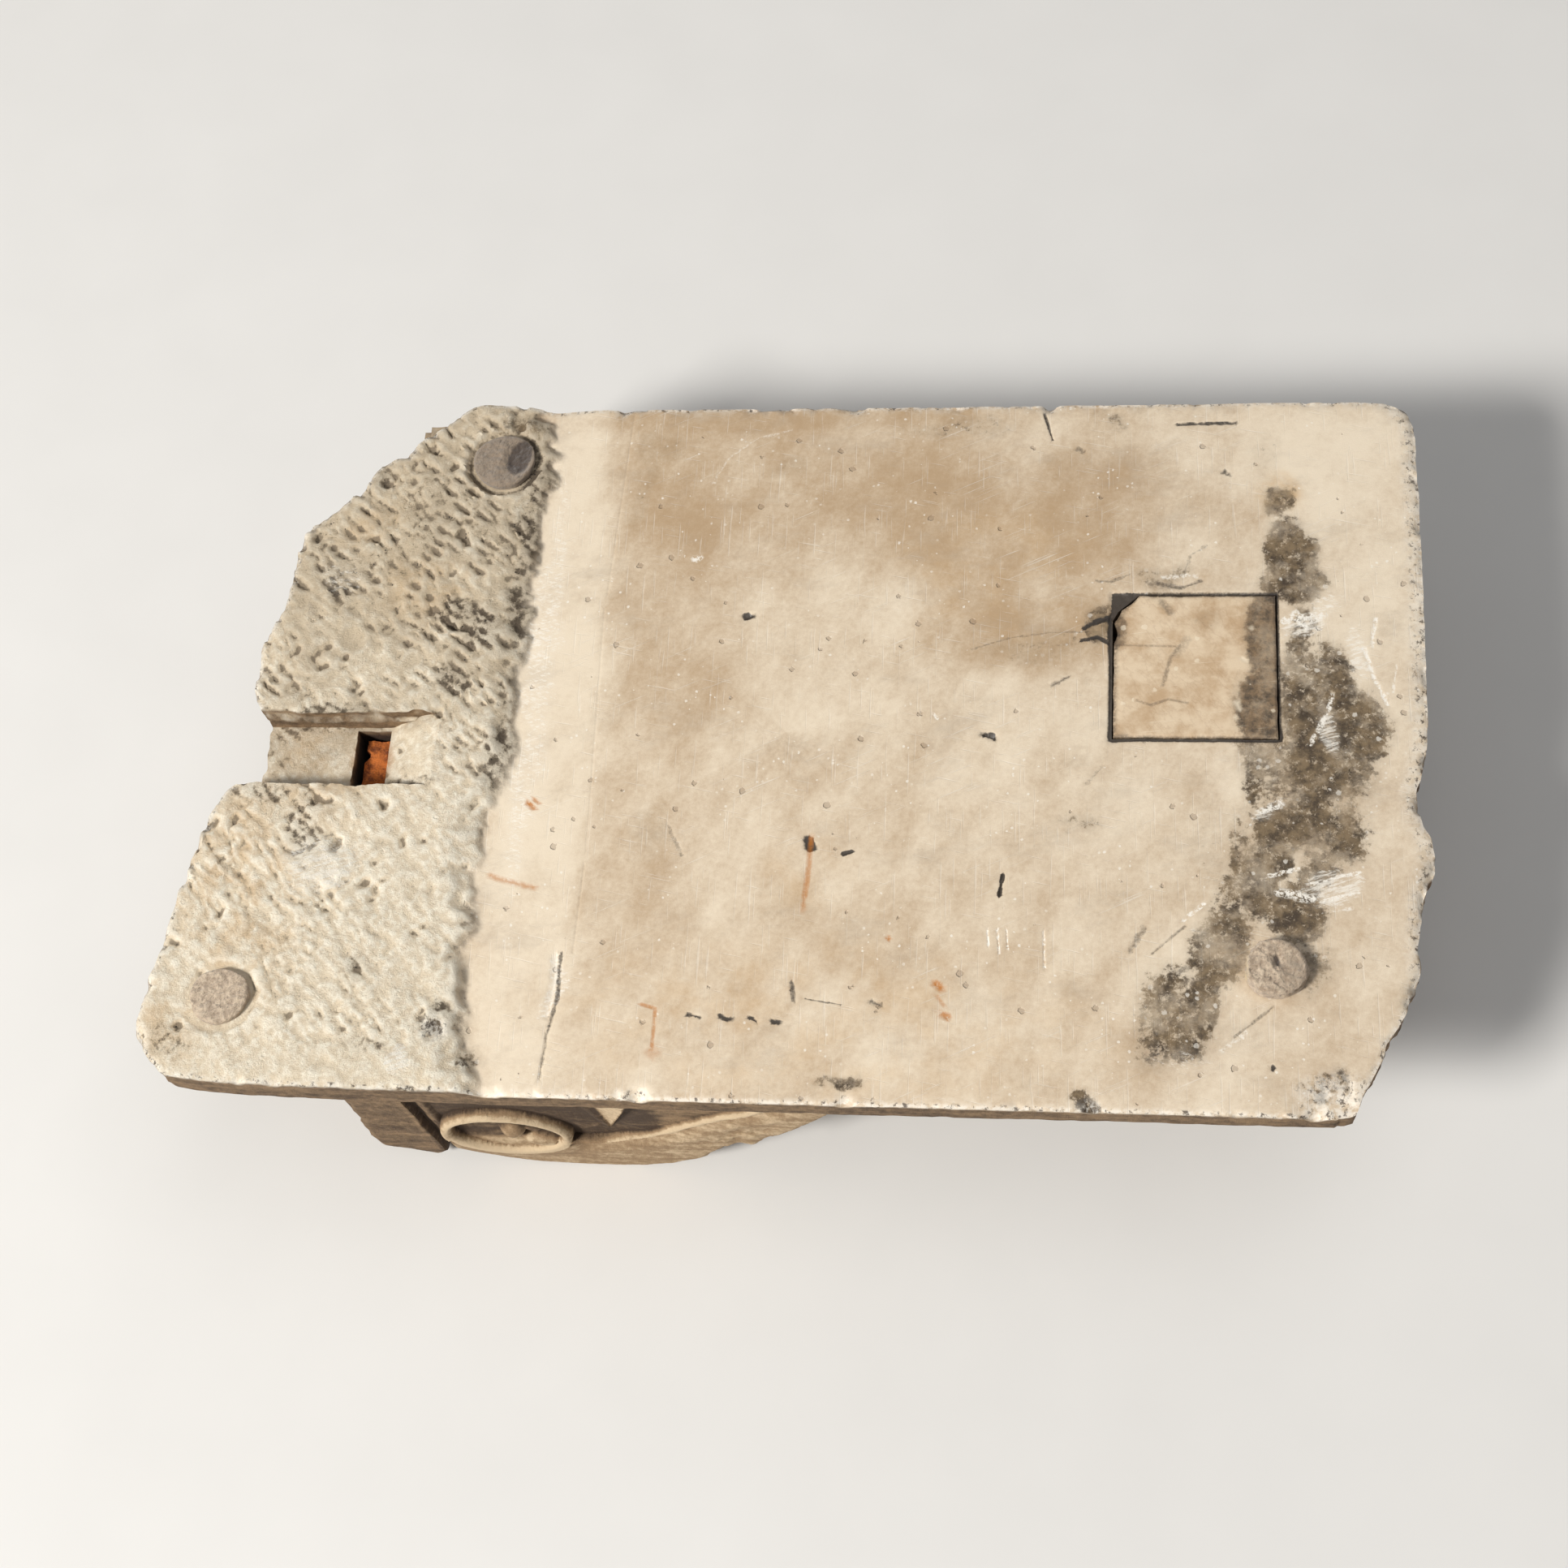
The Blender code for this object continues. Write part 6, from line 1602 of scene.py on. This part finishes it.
@dataclass
class SquarePlug:
    """The square of marble let into the bed, with one corner broken off."""

    thickness: float = 14.0
    pitch: float = 1.1
    outline = (
        (124.2, -1.3), (185.8, -1.3), (185.8, 59.9), (134.0, 59.9), (131.0, 56.2), (127.2, 53.6),
        (125.6, 49.4), (124.2, 47.8),
    )
    marks = (
        Mark(((149.5, 38), (146, 33), (144.5, 27), (143, 21)), 0.7, 0.12, Tint.DARK, 0.55),
        Mark(((152, 40.5), (148, 34)), 1.6, 0.1, Tint.DARK, 0.3),
        Mark(((133, 14.5), (138.5, 12.5), (145, 15), (152, 13.5)), 0.5, 0.1, Tint.DARK, 0.55),
        Mark(((125, 38.2), (150, 37.6)), 0.45, 0.05, Tint.DARK, 0.45),
        Mark(((143, 57), (146, 52.5)), 1.6, 0.3, Tint.DARK, 0.55),
        Mark(((170.5, 13.5), (171.5, 11)), 1.2, 0.2, Tint.WHITE, 0.9),
        Mark(((170, 7.5),), 1.1, 0.1, Tint.WHITE, 0.8),
        Mark(((176.5, 45.5),), 1.2, 0.1, Tint.WHITE, 0.7),
        Mark(((172.5, 32.5), (174, 31.5)), 0.8, 0.2, Tint.WHITE, 0.7),
    )
    stains = (
        Patch(183, 42, 9, 22, 0), Patch(180, 12, 11, 16, 0, 0.9),
        Patch(126, 44, 4, 9, 0, 0.62), Patch(160, 49, 7, 6, 0, 0.36),
    )

    def build(self) -> bpy.types.Object:
        """Builds the plug flush with the bed, in its pocket."""
        ring = refine(np.array(self.outline, dtype=float), self.pitch, closed=True)
        left = fade(124.5, 127.5, ring[:, 0])
        wobble = 0.22 * rough_noise(ring[:, 0], ring[:, 1], 6.0, 151) - 0.2
        wobble -= left * np.maximum(0.0, 1.3 * np.sin(ring[:, 1] / 3.1)) * ramp(24.0, 34.0, ring[:, 1])
        ring = ring + outward(ring) * wobble[:, None]
        inner = [ring - outward(ring) * inset for inset in (0.45, 1.0)]
        marks = [mark.points() for mark in self.marks]
        scattered = scatter((123.0, -3.0), (187.0, 62.0), self.pitch * 1.2, 6)
        points = np.concatenate([*inner, *marks, scattered])
        keep = inside(points[:, 0], points[:, 1], ring) & (distance_to(points, ring) > 0.4)
        flat, faces = triangulate(ring, points[keep])
        x, y = flat.T
        margin = distance_to(flat, ring)
        height = 0.06 * rough_noise(x, y, 20.0, 152) - 0.05 - 0.35 * fade(0.0, 1.2, margin)
        height -= 0.5 * ramp(0.2, 0.8, rough_noise(x, y, 5.0, 153)) * fade(0.2, 2.2, margin)
        for mark in self.marks:
            height -= mark.depth * fade(0.2, 1.0, mark.distance(x, y))
        count = len(ring)
        middle = np.column_stack([ring, np.full(count, -4.0)])
        bottom = np.column_stack([ring, np.full(count, -self.thickness)])
        starts = [0, len(flat), len(flat) + count]
        faces += band_faces(starts, count)
        faces.append([starts[-1] + index for index in range(count)])
        vertices = np.concatenate([np.column_stack([flat, height]), middle, bottom])
        plug = mesh_object("square_plug_inlaid", vertices, faces)
        shade(plug, 50)
        place, _ = vertex_arrays(plug)
        x, y = place[:, 0], place[:, 1]
        damp = strongest(self.stains, x, y)
        line = drawn(self.marks, x, y, 0.5)
        margin = distance_to(place[:, :2], ring)
        rim = 0.8 * fade(0.1, 0.9 + 1.3 * (x < 130.0), margin)
        paint(plug, "stains", [damp, np.maximum(line[Tint.DARK], rim), line[Tint.WHITE]])
        plug.data.materials.append(PlugMarble().material())
        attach(plug, "root")
        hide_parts("square_plug")
        LOG.info("square plug: %d faces", len(plug.data.polygons))
        return plug


@dataclass
class IronStump:
    """The rusted stump of iron along one wall of the dowel hole."""

    cuts: int = 18
    flake: float = 0.55
    lean: float = 4.2

    def build(self) -> bpy.types.Object:
        """Builds the stump inside the place of its plain solid."""
        low, high = (np.array(corner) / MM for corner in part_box("iron_dowel"))
        centre = (low + high) / 2
        size = (high - low) - 1.0
        bpy.ops.object.select_all(action="DESELECT")
        bpy.ops.mesh.primitive_cube_add(size=1.0, location=tuple(centre * MM), scale=tuple(size * MM))
        stump = bpy.context.object
        stump.name = "iron_stump"
        bpy.ops.object.transform_apply(location=True, rotation=True, scale=True)
        bpy.ops.object.mode_set(mode="EDIT")
        bpy.ops.mesh.select_all(action="SELECT")
        bpy.ops.mesh.subdivide(number_cuts=self.cuts)
        bpy.ops.mesh.vertices_smooth(factor=0.5, repeat=2)
        bpy.ops.object.mode_set(mode="OBJECT")
        place, normal = vertex_arrays(stump)
        x, y, z = place.T
        lumps = rough_noise(x * 1.2 + z * 0.4, y + z * 0.3, 5.0, 161)
        flakes = rough_noise(x * 2.2, y * 1.1 + z * 0.5, 2.2, 162)
        share = self.flake * (0.7 * lumps + 0.4 * flakes) + 0.1
        place += normal * share[:, None]
        lean = ramp(high[2] - 12.0, high[2] - 3.0, z) * (centre[0] + 1.0 - x) / (size[0] / 2)
        place[:, 0] -= self.lean * np.maximum(lean, 0.0) * (1.0 + 0.5 * rough_noise(y, z, 5.0, 164))
        crown = ramp(high[2] - 5.0, high[2], z)
        place[:, 2] -= crown * (1.4 + 1.5 * rough_noise(x * 1.5, y, 5.0, 163))
        place = np.clip(place, low - np.array([self.lean, 0.0, 0.0]) + 0.02, high - 0.02)
        move_points(stump, place)
        shade(stump, 45)
        stump.data.materials.append(RustedIron().material())
        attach(stump, "root")
        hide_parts("iron_dowel")
        LOG.info("iron stump: %d faces", len(stump.data.polygons))
        return stump


@dataclass
class FeltFoot:
    """One hand-cut felt disc, matted and a little squashed."""

    node: str
    corners: int
    crease: tuple[Point, ...] = ()
    dent: Patch | None = None
    glue: Patch | None = None
    fuzz: float = 0.5
    grime: float = 0.0
    rings: int = 22
    spokes: int = 120

    def reach(self, angle: np.ndarray) -> np.ndarray:
        """Returns the share of the radius out to the cut edge, which runs in short straight snips."""
        turn = math.tau / self.corners
        offset = np.mod(angle, turn) - turn / 2
        flat = math.cos(turn / 2) / np.cos(offset)
        return 0.35 * flat + 0.62 + 0.025 * np.sin(angle * 3.0 + len(self.node))

    def build(self) -> bpy.types.Object:
        """Builds the foot inside the place of its plain solid."""
        low, high = (np.array(corner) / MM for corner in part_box(self.node))
        centre = (low + high) / 2
        radius = (high - low)[:2] / 2 - 0.15
        thick = high[2] - low[2]
        angles = np.arange(self.spokes) * math.tau / self.spokes
        edge = self.reach(angles)
        profile = [(share, 1.0) for share in np.linspace(0.06, 0.9, self.rings)]
        profile += [(0.955, 0.96), (0.985, 0.86), (1.0, 0.68), (0.995, 0.45), (1.0, 0.22), (0.98, 0.0)]
        rings = []
        for share, level in profile:
            x = centre[0] + radius[0] * edge * share * np.cos(angles)
            y = centre[1] + radius[1] * edge * share * np.sin(angles)
            z = np.full(self.spokes, low[2] + thick * level)
            rings.append(np.column_stack([x, y, z]))
        foot = loft(self.node.replace("felt_foot", "felt_disc"), rings)
        place, _ = vertex_arrays(foot)
        x, y, z = place.T
        level = (z - low[2]) / thick
        tuft = rough_noise(x * 1.1 + z, y * 1.1 - z, 2.2, 171)
        broad = rough_noise(x, y, 8.0, 172)
        drop = (0.22 + 0.16 * broad + 0.20 * tuft) * np.minimum(thick, 4.2) * 0.6
        # The first stain mask holds the foot's grime and painted shade: darker towards the base where it
        # meets the bed, in the crease and in the dent.
        soil_and_shade = np.maximum(self.grime, 0.35 * (1.0 - level))
        if self.crease:
            gap = path_distance(x, y, self.crease)
            fold = fade(0.3, 2.8, gap)
            drop = drop + 0.22 * thick * fold
            soil_and_shade = np.maximum(soil_and_shade, 0.8 * fade(0.2, 2.4, gap))
        if self.dent:
            hollow = self.dent.mask(x, y)
            drop = drop + 0.32 * thick * hollow
            soil_and_shade = np.maximum(soil_and_shade, 0.9 * hollow)
        place[:, 2] -= drop * ramp(0.4, 1.0, level)
        spread = self.fuzz * (0.5 * tuft - 0.25) * ramp(0.02, 0.3, level)
        away = np.column_stack([x - centre[0], y - centre[1]])
        away /= np.maximum(np.linalg.norm(away, axis=1, keepdims=True), 1.0)
        place[:, :2] += away * spread[:, None]
        move_points(foot, np.clip(place, low + 0.01, high - 0.01))
        shade(foot, 60)
        glued = self.glue.mask(x, y) if self.glue else np.zeros_like(x)
        paint(foot, "stains", [soil_and_shade, glued, np.zeros_like(x)])
        foot.data.materials.append(GreyFelt(foot.name + "_felt").material())
        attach(foot, "root")
        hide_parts(self.node)
        LOG.info("%s: %d faces", foot.name, len(foot.data.polygons))
        return foot


@dataclass
class Studio:
    """The pale floor, the soft lights and the camera. Places are in metres."""

    lens: float = 56.0
    camera_place: tuple[float, float, float] = (0.1232, -0.4075, 0.8332)
    camera_turn: tuple[float, float, float] = (25.086, 6.661, 3.706)
    floor_level: float = -0.0944
    floor_size: float = 8.0
    floor_grey: tuple = tone(226, 224, 220)
    floor_pale: tuple = tone(232, 230, 226)
    key_power: float = 134.0
    fill_power: float = 17.0
    back_power: float = 7.0
    sky: float = 0.18

    def light(self, name: str, place: tuple, aim: tuple, size: float, power: float, colour: tuple) -> None:
        """Adds a square soft light that points at a place."""
        lamp = bpy.data.lights.new(name, "AREA")
        lamp.shape = "SQUARE"
        lamp.size = size
        lamp.energy = power
        lamp.color = colour
        item = bpy.data.objects.new(name, lamp)
        item.location = place
        item.rotation_euler = (Vector(aim) - Vector(place)).to_track_quat("-Z", "Y").to_euler()
        bpy.context.scene.collection.objects.link(item)

    def build(self) -> None:
        """Sets the floor, the lights, the sky and the camera."""
        bpy.ops.object.select_all(action="DESELECT")
        bpy.ops.mesh.primitive_plane_add(size=self.floor_size, location=(0.0, 0.0, self.floor_level))
        floor = bpy.context.object
        floor.name = "pale_floor"
        bpy.ops.object.transform_apply(location=True, rotation=True, scale=True)
        material, sheet = new_material("pale_floor")
        paper = sheet.noise(sheet.place(), 0.02, 3.0, 0.5)
        coat(sheet, sheet.mix(paper, self.floor_grey, self.floor_pale), 0.9)
        floor.data.materials.append(material)
        self.light("key", (-2.0, -1.7, 2.35), (0.0, 0.0, 0.0), 0.75, self.key_power, (1.0, 0.98, 0.95))
        self.light("fill", (0.8, 0.3, 3.2), (0.0, 0.0, 0.0), 2.6, self.fill_power, (0.97, 0.98, 1.0))
        self.light("back", (0.9, 2.4, 1.3), (0.0, 0.0, 0.0), 1.4, self.back_power, (1.0, 0.98, 0.96))
        world = bpy.data.worlds.new("studio_sky")
        world.use_nodes = True
        background = world.node_tree.nodes["Background"]
        background.inputs[0].default_value = (0.95, 0.97, 1.0, 1.0)
        background.inputs[1].default_value = self.sky
        bpy.context.scene.world = world
        bpy.context.scene.view_settings.view_transform = "Standard"
        lens = bpy.data.cameras.new("photo_view")
        lens.lens = self.lens
        lens.sensor_width = 36.0
        lens.sensor_fit = "HORIZONTAL"
        camera = bpy.data.objects.new("photo_view", lens)
        camera.location = self.camera_place
        camera.rotation_euler = Euler([math.radians(angle) for angle in self.camera_turn], "XYZ")
        bpy.context.scene.collection.objects.link(camera)
        bpy.context.scene.camera = camera
        LOG.info("studio set")


def main() -> None:
    logging.basicConfig(level=logging.INFO, format="%(name)s: %(message)s")
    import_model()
    CarvedBlock().build()
    SquarePlug().build()
    IronStump().build()
    dent = Patch(-117, 121.5, 5, 9, -12, 1.3)
    FeltFoot("felt_foot_tail_far", 11, dent=dent, grime=0.58).build()
    dent = Patch(-196, -122.5, 4, 2, 30, 0.5)
    FeltFoot("felt_foot_tail_near", 8, dent=dent, fuzz=0.25, grime=0.12).build()
    dent = Patch(191, -97, 8, 12, 0, 0.5)
    glue = Patch(171.6, -95, 0.9, 8, 0, 0.8)
    crease = ((182.5, -90.0), (183.5, -92.5))
    FeltFoot("felt_foot_front", 9, crease=crease, dent=dent, fuzz=1.3, glue=glue).build()
    Studio().build()


if __name__ == "__main__":
    main()
